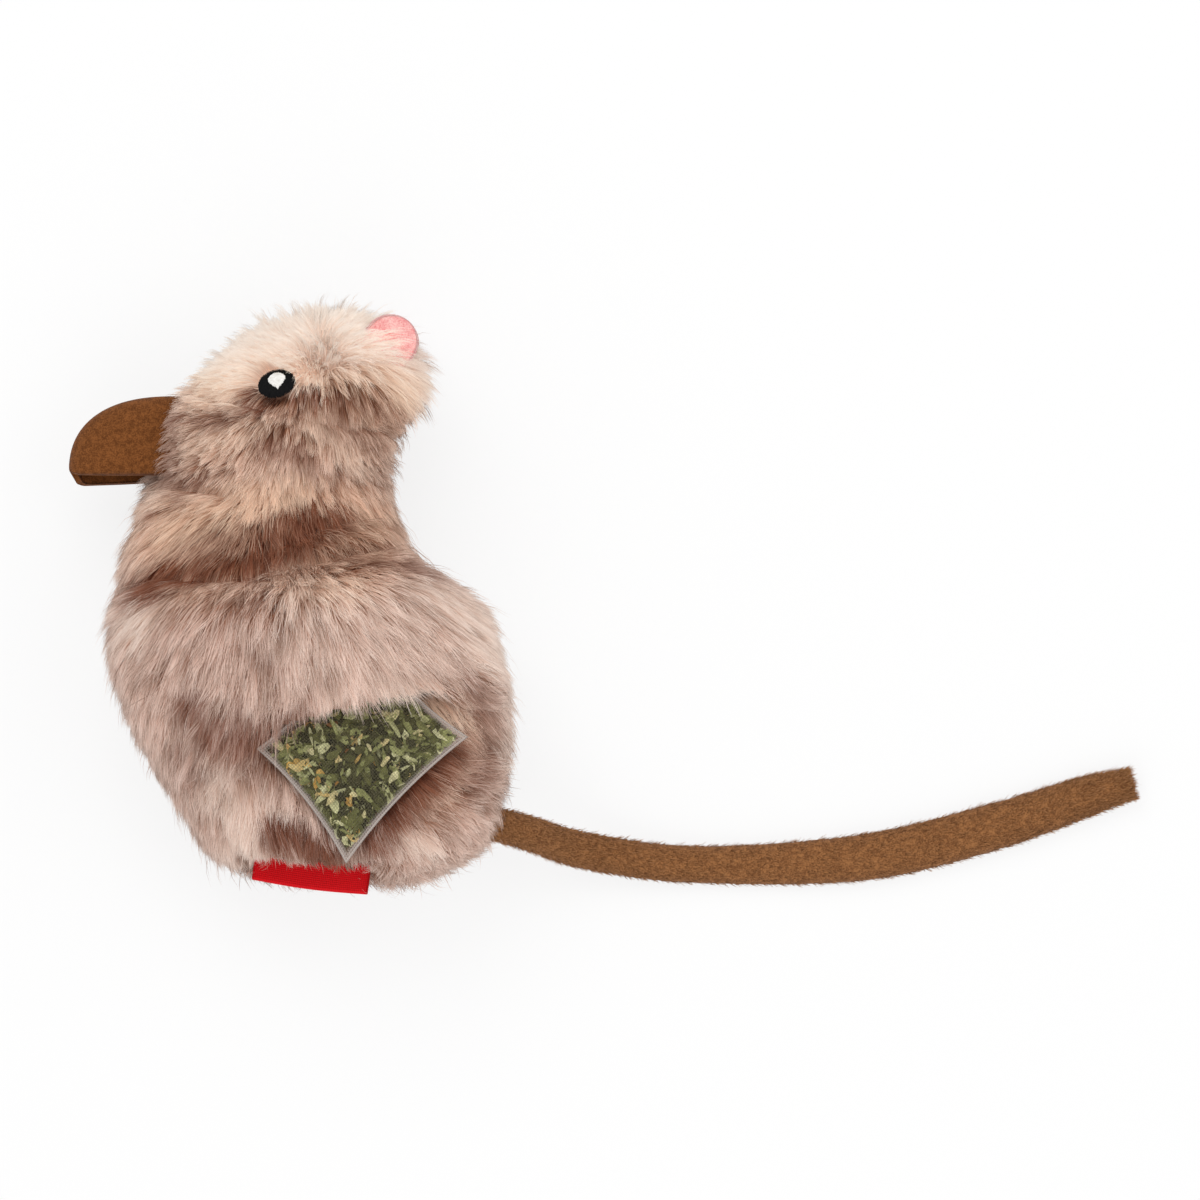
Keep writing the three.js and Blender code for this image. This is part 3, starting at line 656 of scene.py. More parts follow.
# Pixel of the picture, then direction right and down
COMB = [
    (210, 350, -.8, -.4), (260, 320, -.4, -.8), (310, 305, 0, -1), (350, 305, .2, -1), (395, 320, .7, -.5),
    (425, 360, 1, -.1), (425, 395, 1, .25), (225, 372, -.9, .1), (245, 355, -.7, -.3), (275, 342, -.5, -.5),
    (310, 335, -.1, -.8), (345, 332, .2, -.7), (365, 335, .5, -.3), (372, 320, .95, 0), (388, 345, .9, .25),
    (283, 362, -.8, 0), (318, 376, 0, 1), (345, 370, .1, 1), (378, 366, .35, .9), (312, 390, .05, 1),
    (245, 390, -.7, .5), (340, 390, .1, 1), (405, 375, .8, .6), (290, 405, -.2, .9),
    (250, 400, -.5, .6), (180, 410, -1, .1), (200, 440, -.9, .35),
    (160, 460, -1, .35), (250, 450, -.35, .9), (310, 440, 0, 1), (370, 440, .6, .8), (395, 470, 1, .4),
    (150, 520, -.9, .5), (210, 510, -.45, .9), (280, 510, -.1, 1), (350, 520, .35, .95), (400, 530, .9, .5),
    (120, 620, -.9, .5), (180, 620, -.35, .95), (260, 620, -.1, 1), (335, 610, .4, .92), (395, 610, .7, .7),
    (450, 600, .9, .45), (490, 630, .9, .4), (120, 690, -.6, .8), (200, 700, -.1, 1), (300, 690, 0, 1),
    (395, 675, .35, .95), (455, 690, .7, .7), (480, 735, .95, .3), (510, 730, 1, .2),
    (170, 780, -.6, .8), (230, 800, -.1, 1), (300, 840, .05, 1), (440, 785, .8, .5), (475, 790, .95, .35),
    (505, 790, 1, .25), (420, 835, .4, .9), (470, 835, .8, .6), (250, 870, -.4, .9), (330, 885, 0, 1),
    (420, 870, .35, .95),
]
# Half width in pixels, strength, then the pixels that the stroke runs through
BANDS_AND_SHADOWS = [
    (9, .95, (245, 404), (280, 405), (320, 402), (350, 404)),
    (8, .45, (350, 404), (400, 416)),
    (12, .35, (330, 430), (375, 445)),
    (15, .5, (165, 420), (170, 450), (160, 478)),
    (11, .5, (200, 425), (235, 415)),
    (9, .65, (258, 448), (290, 452), (310, 462)),
    (8, .6, (175, 492), (205, 478)),
    (15, 1, (272, 535), (300, 526), (342, 522)),
    (16, 1, (140, 594), (175, 572), (210, 566), (250, 566), (280, 554), (310, 545)),
    (9, .55, (300, 566), (350, 560), (400, 560), (440, 576)),
    (14, .5, (185, 550), (230, 542), (280, 535)),
    (6, .5, (215, 606), (262, 602)),
    (9, .45, (262, 655), (280, 665)),
    (16, .8, (190, 705), (210, 735), (245, 750)),
    (12, .8, (240, 722), (268, 742)),
    # partly brown dye, partly painted shadow in the dark gap under the fringe, beside the bag's left corner
    (11, .7, (270, 730), (312, 722)),
    (9, .5, (262, 765), (275, 785)),
    (11, .5, (180, 755), (195, 780)),
    (13, .55, (478, 690), (486, 720), (488, 760), (475, 790)),
    # partly brown dye, partly painted shadow that the bag casts below its right edge
    (20, 1, (452, 752), (430, 778), (402, 806), (375, 836)),
    # partly brown dye, partly painted shadow of the bag's lower corner on the pile
    (16, 1, (278, 835), (305, 842), (335, 858)),
    (9, .4, (300, 470), (340, 480)),
]
# Where the dye is palest
BLEACHED = [
    (44, 1, (215, 365), (250, 335), (310, 320), (380, 330)),
    (28, .75, (310, 355), (350, 360), (400, 365), (415, 388)),
    (20, 1, (245, 392), (255, 368), (285, 358), (306, 372), (312, 388)),
    (14, .7, (218, 392), (245, 385)),
    (20, .35, (190, 445), (215, 440), (250, 430)),
    (12, .4, (150, 480), (158, 505)),
    (14, .4, (320, 432), (360, 470)),
    (24, .35, (180, 530), (230, 505), (300, 495)),
    (30, .3, (300, 625), (380, 610), (440, 610)),
    (22, .5, (430, 590), (475, 620), (490, 660)),
    (10, .4, (228, 856), (258, 858)),
    (10, .3, (330, 702), (400, 688), (440, 684)),
    (26, .25, (290, 660), (380, 660), (450, 650)),
    (18, .6, (140, 605), (130, 640)),
    (18, .5, (215, 790), (240, 820), (245, 850)),
    (16, .75, (400, 705), (425, 716), (450, 722)),
    (11, .5, (506, 640), (516, 700), (512, 760)),
    (12, .5, (262, 805), (285, 815)),
    (14, .5, (395, 838), (430, 850)),
    (18, .5, (290, 600), (360, 595)),
]
# Where the dye is yellower
WARMED = [
    (55, .6, (210, 440), (280, 420), (360, 430)),
    (60, 1, (190, 545), (260, 528), (350, 535)),
    (34, .8, (340, 400), (390, 405)),
    (30, .6, (205, 405), (250, 420)),
    (40, .7, (450, 740), (430, 780)),
]


def comb_at(places):
    """Direction of the comb at places of X and level."""
    strokes = np.array(COMB, float)
    at = np.stack(from_picture(strokes[:, 0], strokes[:, 1]), -1)
    apart = ((places[:, None] - at) ** 2).sum(-1)
    on_head = ease(HEAD_LEVEL - 6, HEAD_LEVEL + 8, places[:, 1])
    within = COMB_REACH + (COMB_REACH_HEAD - COMB_REACH) * on_head
    weight = np.exp(-apart / (2 * within[:, None] ** 2)) + 1e-4 / (apart + 1)
    weight /= weight.sum(1, keepdims=True)
    flow = weight @ (strokes[:, 2:] * (1, -1))
    strength = np.linalg.norm(flow, axis=1, keepdims=True)
    return flow * np.maximum(strength, LEAST_COMBED) / np.maximum(strength, 1e-6)


print("strokes of the comb", len(COMB), "bands", len(BANDS_AND_SHADOWS), "pale places", len(BLEACHED))

# %% [markdown]
# ## Places that stay clear
# The hairs part round the eyes, the snout, the ears, the label and the bag. A hair that would reach
# into such a place is cut shorter, as on the real toy, where the seams and trims hold the pile back.

# %% Clear places
EYE_X, EYE_LEVEL = from_picture(278, 385)
EYE_SINK = 2.4
EYE_HALF = np.array([4.1, 3.3])
SNOUT_LOW, SNOUT_HIGH = (in_toy(corner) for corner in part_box("snout_near_panel"))
SNOUT_LENGTH, SNOUT_HALF = 22.7, 6.0
SNOUT_SHOWN, SNOUT_SHOWN_LOW = 21.5, 15.5  # at its top and at its foot. The pile hides the rest
LABEL_HALF, LABEL_SHOWN = 13, 2.8
LABEL_SWAY = 0.6  # how far the label may hang down for each mm that it stands out
EAR_LENGTH, EAR_TIP, EAR_ROOT = 13.9, 5.7, 4.5
EAR_RIM = 1.6  # of the ear that looks out of the pile
NEAR_SIDE = 25  # mm above the floor, from where the cloth belongs to the side that shows
FRINGE_BESIDE = 6  # how far beside the pocket's mouth hairs may still hang over the bag
# Along the pocket's mouth, and how far down into or out of it the fringe ends there
FRINGE_LINE = [(-26, -10), (-20, -8), (-15, 3), (0, 2.5), (14, 0.5), (24, -2)]


def joint_axes(name, out_sign):
    """Origin and axes of a flat piece that turns about its X axis: X, Y outwards, Z."""
    x = unit(np.array(JOINTS[name]["axis"], float))
    z = np.array([0, 0, float(out_sign)])
    return in_toy(JOINTS[name]["pos_m"]), np.array([x, np.cross(z, x), z])


LABEL = joint_axes("label_flap", 1)
EARS = {"near": joint_axes("near_ear_fold", 1), "far": joint_axes("far_ear_fold", -1)}


def hangs_over(points):
    """Whether hairs rooted at points of the near side may hang over the bag."""
    u, v = pocket_place(points).T[:2]
    over_mouth = np.abs(u) < POCKET_MOUTH / 2 + FRINGE_BESIDE
    return (v > FLAP_BOTTOM) & over_mouth & (points[:, 2] > NEAR_SIDE)


def is_clear_place(points, from_above, spill=0):
    """Whether no hair may reach each point. Over the label, hairs may reach further by the spill."""
    eye = ((points[:, :2] - (EYE_X, EYE_LEVEL)) / (EYE_HALF - 0.3)) ** 2
    taken = eye.sum(1) < 1
    rise = (points[:, 1] - SNOUT_LOW[1]) / (SNOUT_HIGH[1] - SNOUT_LOW[1])
    swell = (points[:, 2] - SNOUT_LOW[2]) / SNOUT_HALF
    shown = SNOUT_LOW[0] + SNOUT_SHOWN_LOW + (SNOUT_SHOWN - SNOUT_SHOWN_LOW) * np.clip(rise, 0, 1)
    taken |= (points[:, 0] < shown) & (rise > -0.12) & (rise < 1) & (np.abs(swell) < 1.6)
    aside, out, up = ((points - LABEL[0]) @ LABEL[1].T).T
    taken |= (np.abs(aside) < LABEL_HALF) & (out > LABEL_SHOWN + spill) & (up > -1 - LABEL_SWAY * out)
    v, w = pocket_place(points).T[1:]
    apart = outside_bag(points)
    over_bag = (apart < 0.2) & (w > -0.45 - 0.35 * np.maximum(-apart, 0))
    taken |= ~from_above & (v < FLAP_BOTTOM + 1) & over_bag
    for place, axes in EARS.values():
        side, length, above = ((points - place) @ axes.T).T
        from_tip = EAR_TIP - np.hypot(side, length - EAR_LENGTH + EAR_TIP)
        in_rim = np.abs(from_tip - EAR_RIM / 2) < EAR_RIM / 2 + 0.3
        taken |= in_rim & (length > EAR_LENGTH - EAR_TIP + 1) & (above > -1)
    return taken


def below_fringe(points, spill):
    """Whether points over the bag lie further out of the pocket than the fringe hangs."""
    u, v = pocket_place(points).T[:2]
    ends_at = np.interp(u, *np.array(FRINGE_LINE, float).T)
    return (v < ends_at - spill) & (outside_bag(points) < 1)


# %% [markdown]
# ## The pile
# Each hair is a narrow ribbon that rises from the cloth and bends with the comb. Hairs gather in locks
# that share a tip, and their ends thin out. Mesh ribbons keep the fur in the exported model, where
# hair systems would be lost. Their normals lean towards the cloth's own, so that the fur is lit
# as one soft mass.

# %% Rooting the hairs
NEAR_DENSITY, HEAD_DENSITY, FAR_DENSITY = 10, 15, 4.5  # hairs for each square mm
UNDER = -0.35  # cloth that faces down more than this has the thinner pile
STEPS = np.array([0, 0.25, 0.5, 0.75, 1])


def rooted(chosen, density):
    """Roots and cloth normals of hairs on the chosen cells."""
    expected = cell_area * chosen * density
    count = int(expected.sum())
    cell = rng.choice(len(cells), count, p=expected / expected.sum())
    s, t = rng.random((2, count, 1))
    shares = np.stack([(1 - s) * (1 - t), s * (1 - t), s * t, (1 - s) * t], 1)
    root = (points[cells[cell]] * shares).sum(1)
    return root, unit((normals[cells[cell]] * shares).sum(1)), cell_flap[cell]


head = cell_middle[:, 1] > HEAD_LEVEL
in_view = cell_up > UNDER
density = np.where(in_view, np.where(head, HEAD_DENSITY, NEAR_DENSITY), FAR_DENSITY)
root, lay, on_flap = rooted(~cell_torn, density)
print("hairs", len(root))


# %% Combing the hairs
TUFT, LOCK = 90, 9  # hairs in a tuft and in a lock
FRINGE = 9  # the stretch of the flap whose hairs hang over the bag
FRINGE_ROOTS = 4.5  # nearer to the mouth than this, no hair is rooted on the flap
LAID, LAID_HEAD = 0.32, 0.2  # share of the height that flat pile loses, and what it loses more on the head
REACH, REACH_HEAD = 10.5, 5.0  # how far the hairs lean along the comb, on the body and on the head
EAR_ROUND, EAR_TALLER, EAR_LONGER = 10, 0.3, 8  # how far round an ear the pile is taller and longer
LABEL_SHORN = 0.88  # share of the height that the seam of the label takes
STRAYS, WISPS = 0.012, 0.05  # shares of loose hairs, and of loose locks on the head
SHORTEST = 0.2  # a hair that can't keep this share of its length isn't made


def gathered(root, each):
    """The lock that each hair belongs to, and the hair that leads each lock."""
    leaders = rng.choice(len(root), len(root) // each, replace=False)
    tree = KDTree(len(leaders))
    for i, leader in enumerate(leaders):
        tree.insert(root[leader], i)
    tree.balance()
    return np.array([tree.find(place)[1] for place in root]), leaders


def varied(groups, spread):
    """A random value for each group, given to each hair in it."""
    return rng.normal(0, spread, groups.max() + 1)[groups]


def turned(flat, turn):
    """Flat directions, each turned by its own angle."""
    cos, sin = np.cos(turn), np.sin(turn)
    return np.stack([flat[:, 0] * cos - flat[:, 1] * sin, flat[:, 0] * sin + flat[:, 1] * cos], -1)


def pile_height(root, lay, on_flap, is_head):
    """How high the pile stands: lower where it lies flat, and round and under the bag."""
    facing = np.clip(np.abs(lay[:, 2]), 0, 1)
    height = PILE * (1 - (LAID + LAID_HEAD * is_head) * facing)
    apart = outside_bag(root)
    by_bag = (root[:, 2] > NEAR_SIDE) & ~on_flap & (pocket_place(root)[:, 1] < FLAP_BOTTOM)
    bedded = (0.4 + 0.6 * ease(0, 6, apart)) * (1 - 0.45 * ease(0, 5, -apart))
    return np.where(by_bag, height * bedded, height)


def beside_ears(root, lay):
    """How close to an ear each hair is rooted, 1 at the ear."""
    close = np.zeros(len(root))
    for place, axes in EARS.values():
        from_ear = np.linalg.norm(root - place - 3 * axes[1], axis=1)
        close += np.exp(-((from_ear / EAR_ROUND) ** 2))
    return close * ease(0, 0.4, np.abs(lay[:, 2]))


def above_label(root):
    """How close above the label each hair is rooted, 1 at its seam."""
    aside, out, up = ((root - LABEL[0]) @ LABEL[1].T).T
    close = (1 - ease(LABEL_HALF - 5, LABEL_HALF + 7, np.abs(aside))) * ease(-12, -6, out)
    return close * (ease(-2, 0, up) * (1 - ease(9, 18, up)))


def along_cloth(directions, lay):
    """Directions without the share of them that points out of the cloth."""
    return directions - lay * (directions * lay).sum(1, keepdims=True)


def share_kept(root, grown, size, slack, spill, hang):
    """The share of each hair that stays off the clear places and near the toy's outline."""
    kept, from_above = np.zeros(len(root)), hangs_over(root)
    for share in np.linspace(SHORTEST, 1, 9):
        tip = root + grown * (size * share)[:, None]
        hidden = is_clear_place(tip, from_above, spill) | (from_above & below_fringe(tip, hang))
        too_far = hidden | (past_outline(tip) > slack)
        kept = np.where(too_far & (share > SHORTEST), kept, np.where(hidden, kept, share))
    return kept


def combed(root, lay, on_flap, lock, tuft, leaders):
    """Points along each hair, and whether it grows at all."""
    count = len(root)
    is_head = ease(HEAD_LEVEL - 6, HEAD_LEVEL + 10, root[:, 1])
    by_ear, by_label = beside_ears(root, lay), above_label(root)
    height = pile_height(root, lay, on_flap, is_head) * (1 + EAR_TALLER * by_ear)
    height = height * (1 - LABEL_SHORN * by_label)
    reach = REACH + (REACH_HEAD - REACH) * is_head + EAR_LONGER * by_ear
    turn = varied(tuft, math.radians(6)) + varied(lock, math.radians(9))
    turn = turn + rng.normal(0, math.radians(9), count)
    flow = np.concatenate([turned(comb_at(root[:, :2]), turn), np.zeros((count, 1))], 1)
    flow += by_label[:, None] * ((0, 0, 0.5) - flow)
    flow = along_cloth(flow, lay)
    loose = unit(along_cloth(rng.normal(0, 1, (tuft.max() + 1, 3))[tuft], lay))
    flow += loose * np.maximum(0, LEAST_COMBED - np.linalg.norm(flow, axis=1, keepdims=True))
    size = 1 + varied(tuft, 0.04) + varied(lock, 0.08) + rng.normal(0, 0.12, count)
    stray = rng.random(count) < STRAYS
    wisp = is_head * (rng.random(lock.max() + 1) < WISPS)[lock]
    size = np.clip(np.where(stray, size * 1.3, size) + 0.3 * wisp, 0.5, 1.6)
    slack = 0.7 - 0.9 * is_head + varied(tuft, 0.5) + varied(lock, 0.6) + rng.normal(0, 0.3, count)
    slack += 2 * stray + 2.5 * wisp + 8 * by_ear
    fringe = on_flap & (pocket_place(root)[:, 1] < FRINGE)
    size = np.where(fringe, size * rng.uniform(0.6, 1.2, count), size)
    spill = rng.exponential(0.8, count)
    hang = spill + rng.exponential(2.2, lock.max() + 1)[lock]
    grown = lay * height[:, None] + flow * reach[:, None]
    kept = share_kept(root, grown, size, slack, spill, hang)
    size = size * kept
    rise = (1 - (1 - STEPS) ** 1.6)[None, :, None]
    lean = (STEPS**1.4)[None, :, None]
    hair = root[:, None] + (lay * (height * size)[:, None])[:, None] * rise
    hair += (flow * (reach * size)[:, None])[:, None] * lean
    curl = rng.normal(0, 0.3, (count, 1, 3)) * STEPS[None, :, None] ** 1.2
    wave = rng.normal(0, 0.1, (count, len(STEPS), 3)) * STEPS[None, :, None]
    hair += curl + wave
    for group, leader, least, most in zip((tuft, lock), leaders, (0, 0.3), (0.2, 0.75)):
        pull = np.where(stray, 0.05, rng.uniform(least, most, len(leader))[group])
        hair += (hair[leader][group] - hair) * pull[:, None, None] * STEPS[None, :, None] ** 1.4
    hair[..., 2] = np.maximum(hair[..., 2], 0.25)
    return hair, kept > 0


bare = is_clear_place(root, hangs_over(root)) | (on_flap & (pocket_place(root)[:, 1] < FRINGE_ROOTS))
root, lay, on_flap = root[~bare], lay[~bare], on_flap[~bare]
(tuft, tuft_leaders), (lock, lock_leaders) = gathered(root, TUFT), gathered(root, LOCK)
hair, grown = combed(root, lay, on_flap, lock, tuft, (tuft_leaders, lock_leaders))
print("tufts", len(tuft_leaders), "locks", len(lock_leaders), "cut away", (~grown).sum())

# %% Dyeing the hairs, and painting the bag's shadow on them
DYE_STEP = 3  # the point along a hair whose place decides its dye
EVENED = 0.92  # how far bleach takes away the dark hairs
drift = np.stack([varied(lock, 0.9) + rng.normal(0, 0.5, len(root)) for axis in range(2)], -1)
dye_place = hair[:, DYE_STEP, :2] + drift
dyes_and_shadows = {
    # the band value holds the brown dye and also the painted shadow of the bag beside it and under the fringe
    "band_and_shadow": painted(BANDS_AND_SHADOWS, dye_place) * (1 + varied(lock, 0.12)) + rng.normal(0, 0.06, len(root)),
    "bleach": painted(BLEACHED, dye_place) + rng.normal(0, 0.06, len(root)),
    "warm": painted(WARMED, dye_place),
    "shade": 0.5 + varied(tuft, 0.13) + varied(lock, 0.3) + rng.normal(0, 0.18, len(root)),
}
dyes_and_shadows["shade"] += (1 - dyes_and_shadows["shade"]) * EVENED * np.clip(dyes_and_shadows["bleach"], 0, 1) ** 1.3
dyes_and_shadows = {name: np.clip(value, 0, 1) for name, value in dyes_and_shadows.items()}
for cloth in (skin, flap_skin):
    place = np.array([in_toy(vertex.co) for vertex in cloth.data.vertices])[:, :2]
    store(cloth.data, "bleach", painted(BLEACHED, place))
print("mean dyes", {name: round(float(value.mean()), 3) for name, value in dyes_and_shadows.items()})

# %% Plush finish
fur, tree, shader = new_finish("plush_pile", 0.7, 0.2)
kinds = ("along", "band_and_shadow", "bleach", "warm", "shade")
along, banded_and_shaded, bleached, warmed, tone = (stored(tree, kind) for kind in kinds)
beige = ramp(tree, along, [(0, srgb(106, 56, 32)), (0.4, srgb(185, 134, 107)), (0.85, srgb(250, 228, 216))])
pale = ramp(tree, along, [(0, srgb(250, 218, 198)), (0.3, srgb(255, 235, 219)), (0.8, srgb(255, 246, 236))])
# the brown of the bands, which also paints the bag's shadow on the pile
brown_and_shadow = ramp(tree, along, [(0, srgb(72, 28, 12)), (0.5, srgb(114, 60, 38)), (1, srgb(160, 106, 82))])
both = blend_colours(tree, banded_and_shaded, blend_colours(tree, bleached, beige, pale), brown_and_shadow)
darker = ramp(tree, tone, [(0, (0.44, 0.37, 0.33, 1)), (0.5, (0.84, 0.81, 0.79, 1)), (1, WHITE)])
warmer = blend_colours(tree, warmed, WHITE, (1.04, 0.95, 0.82, 1))
tinted = blend_colours(tree, 1.0, both, warmer, "MULTIPLY")
strand_colour = blend_colours(tree, 1.0, tinted, darker, "MULTIPLY")
tree.links.new(strand_colour, shader.inputs["Base Color"])
shader.inputs["Sheen Weight"].default_value = 0.15
shader.inputs["Sheen Roughness"].default_value = 0.4
# Light also passes through a hair, and a hair casts a thin shadow, so deep pile doesn't go black
glowing = node(tree, "BsdfTranslucent", {"Color": strand_colour})
soft = node(tree, "MixShader", {0: 0.15, 1: shader.outputs[0], 2: glowing.outputs[0]})
cast = blend_colours(tree, bleached, (0.86, 0.82, 0.79, 1), (0.97, 0.965, 0.96, 1))
thin = node(tree, "BsdfTransparent", {"Color": cast})
for_lamps = node(tree, "LightPath").outputs["Is Shadow Ray"]
strand = node(tree, "MixShader", {0: for_lamps, 1: soft.outputs[0], 2: thin.outputs[0]})
tree.links.new(strand.outputs[0], tree.nodes["Material Output"].inputs["Surface"])


# %% Ribbons from hairs
HAIR_HALF = 0.07
TOWARDS_TOP = 0.8  # how much the ribbons of the upper side turn their flat side up
CLOTH_LIT = 0.75  # how much a ribbon's normals lean towards the cloth's own
STRAND_MAP = "OFBake"  # each strand has a cell of its own on this map


def unwrap_strands(mesh, count, pattern):
    """Lays each strand upright in its own cell of a square map."""
    across = np.append(np.tile([0.2, 0.8], len(STEPS) - 1), 0.5)
    up = 0.15 + 0.7 * np.append(np.repeat(STEPS[:-1], 2), 1.0)
    cell = np.stack([across, up], -1)[np.array(pattern)]
    rows = math.ceil(math.sqrt(count))
    corner = np.stack([np.arange(count) % rows, np.arange(count) // rows], -1)
    flat = (corner[:, None] + cell) / rows
    mesh.uv_layers.new(name=STRAND_MAP).data.foreach_set("uv", flat.astype(np.float32).ravel())


def ribbons(name, hair, lay, values, half_width, material):
    """One mesh of a ribbon for each hair, with values for each hair and its place along it."""
    count, steps = hair.shape[:2]
    along = unit(np.gradient(hair, axis=1))
    roll = rng.normal(0, 0.25, (count, 1, 3))
    upwards = TOWARDS_TOP * (lay[:, None, 2:] > -0.1) * np.array([0.0, 0, 1])
    side = unit(np.cross(along, unit(lay[:, None] + upwards + roll)))
    facing = np.cross(side, along)
    width = half_width * rng.uniform(0.8, 1.25, (count, 1)) * (1 - STEPS) ** 0.4
    offset = side * width[..., None]
    edges = np.stack([hair - offset, hair + offset], 2)[:, :-1].reshape(count, -1, 3)
    mesh_points = np.concatenate([edges, hair[:, -1:]], 1)
    each = 2 * steps - 1
    pattern, starts = [], []
    for k in range(steps - 2):
        starts.append(len(pattern))
        pattern += [2 * k, 2 * k + 1, 2 * k + 3, 2 * k + 2]
    starts.append(len(pattern))
    pattern += [each - 3, each - 2, each - 1]
    first = np.arange(count)[:, None]
    mesh = bpy.data.meshes.new(name)
    mesh.vertices.add(count * each)
    mesh.vertices.foreach_set("co", in_frame(mesh_points).astype(np.float32).ravel())
    mesh.loops.add(count * len(pattern))
    corners = first * each + np.array(pattern)
    mesh.loops.foreach_set("vertex_index", corners.astype(np.int32).ravel())
    mesh.polygons.add(count * len(starts))
    loop_starts = first * len(pattern) + np.array(starts)
    mesh.polygons.foreach_set("loop_start", loop_starts.astype(np.int32).ravel())
    mesh.update(calc_edges=True)
    mesh.polygons.foreach_set("use_smooth", np.ones(count * len(starts), bool))
    along_values = np.broadcast_to(np.append(np.repeat(STEPS[:-1], 2), 1.0), (count, each))
    for label, value in {"along": along_values, **values}.items():
        store(mesh, label, np.broadcast_to(value.reshape(count, -1), (count, each)))
    cloth_way = unit(lay[:, None] + 0.5 * upwards)
    leaning = CLOTH_LIT * cloth_way + (1 - CLOTH_LIT) * facing
    leaning = unit(leaning + rng.normal(0, 0.1, (count, 1, 3)))
    corner_normals = np.concatenate([np.repeat(leaning[:, :-1], 2, axis=1), leaning[:, -1:]], 1)
    mesh.normals_split_custom_set_from_vertices(corner_normals.reshape(-1, 3))
    unwrap_strands(mesh, count, pattern)
    mesh.materials.append(material)
    piece = bpy.data.objects.new(name, mesh)
    bpy.context.scene.collection.objects.link(piece)
    print(name, "hairs", count, "triangles", count * (2 * steps - 3))
    return piece


# %% Pieces of fur
FAR_HAIR_HALF, FINE_HAIR_HALF = 0.11, 0.06
MOST_HAIRS = 28000  # in a piece
showing = lay[:, 2] > UNDER
level = root[:, 1]
regions = {
    "fur_head_near": showing & (level > HEAD_LEVEL),
    "fur_head_far": ~showing & (level > HEAD_LEVEL),
    "fur_body_near": showing & (level <= HEAD_LEVEL) & ~on_flap,
    "fur_body_far": ~showing & (level <= HEAD_LEVEL),
    "fur_flap": on_flap,
}
for region, chosen in regions.items():
    found = np.flatnonzero(chosen & grown)
    found = found[np.argsort(-root[found, 1], kind="stable")]
    strips = math.ceil(len(found) / MOST_HAIRS)
    for number, strip in enumerate(np.array_split(found, strips), 1):
        name = f"{region}_{number}" if strips > 1 else region
        values = {dye: value[strip] for dye, value in dyes_and_shadows.items()}
        fine_pile = "head" in name or "flap" in name
        wide = FAR_HAIR_HALF if "far" in name else FINE_HAIR_HALF if fine_pile else HAIR_HALF
        piece = ribbons(name, hair[strip], lay[strip], values, wide, fur)
        if region == "fur_flap":
            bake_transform(piece)
        else:
            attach(piece, "plush_body")

# %% [markdown]
# ## The snout
# Two panels of suede are sewn along the top of the snout and open below, and the far one hangs lower.
# Each is a quarter of an egg, thickened to the real cloth with a rounded raw edge.


# %% Cloth with thickness
def sheet_faces(rows, columns):
    """Faces between neighbours in a grid of points."""
    index = np.arange(rows * columns).reshape(rows, columns)
    return np.stack([index[:-1, :-1], index[:-1, 1:], index[1:, 1:], index[1:, :-1]], -1).reshape(-1, 4)


def thick_cloth(surface, thickness):
    """Points and faces of a closed sheet round a grid of points, with a rounded rim."""
    rows, columns = surface.shape[:2]
    out = unit(np.cross(np.gradient(surface, axis=1), np.gradient(surface, axis=0)))
    top, under = surface + out * thickness / 2, surface - out * thickness / 2
    faces = sheet_faces(rows, columns)
    count = rows * columns
    index = np.arange(count).reshape(rows, columns)
    rim = np.concatenate([index[0, :-1], index[:-1, -1], index[-1, :0:-1], index[:0:-1, 0]])
    edge = surface.reshape(-1, 3)[rim]
    inward = unit(surface.reshape(-1, 3).mean(0) - edge)
    lip = 2 * count + np.arange(len(rim))
    following = np.roll(np.arange(len(rim)), -1)
    upper = np.stack([rim, lip, lip[following], rim[following]], -1)
    lower = np.stack([lip, rim + count, rim[following] + count, lip[following]], -1)
    cloth = np.concatenate([top.reshape(-1, 3), under.reshape(-1, 3), edge - inward * thickness * 0.35])
    return cloth, [*faces[:, ::-1].tolist(), *(faces + count).tolist(), *upper.tolist(), *lower.tolist()]


def cloth_piece(name, surface, thickness, material):
    """A mesh object of a closed sheet round a grid of points."""
    cloth, faces = thick_cloth(surface, thickness)
    return mesh_piece(name, cloth, faces, material)


# %% Snout panels
SUEDE = 1.2
OVERHANG, OVERHANG_AT_HEAD = 2.4, 1.3  # the far panel below the near one, at the front and at the head
FRONT_SLANT = 0.6  # how far its front edge runs back for each mm that it hangs
CORNER_LONG, CORNER_TALL = 2.8, 1.2  # the rounded lower front corner
RUN = 9.0  # straight stretch into the head
SNOUT_FULL = 2.45  # how full the egg's outline is, 2 for an ellipse
suede = napped("suede", srgb(94, 52, 19), srgb(133, 80, 39), 1.2, 0.3, 0.14, sheen=0.06)
foot, crest, seam_z = SNOUT_LOW[1], SNOUT_HIGH[1] + 0.1, SNOUT_LOW[2]
snout_x = SNOUT_LOW[0] + SNOUT_LENGTH


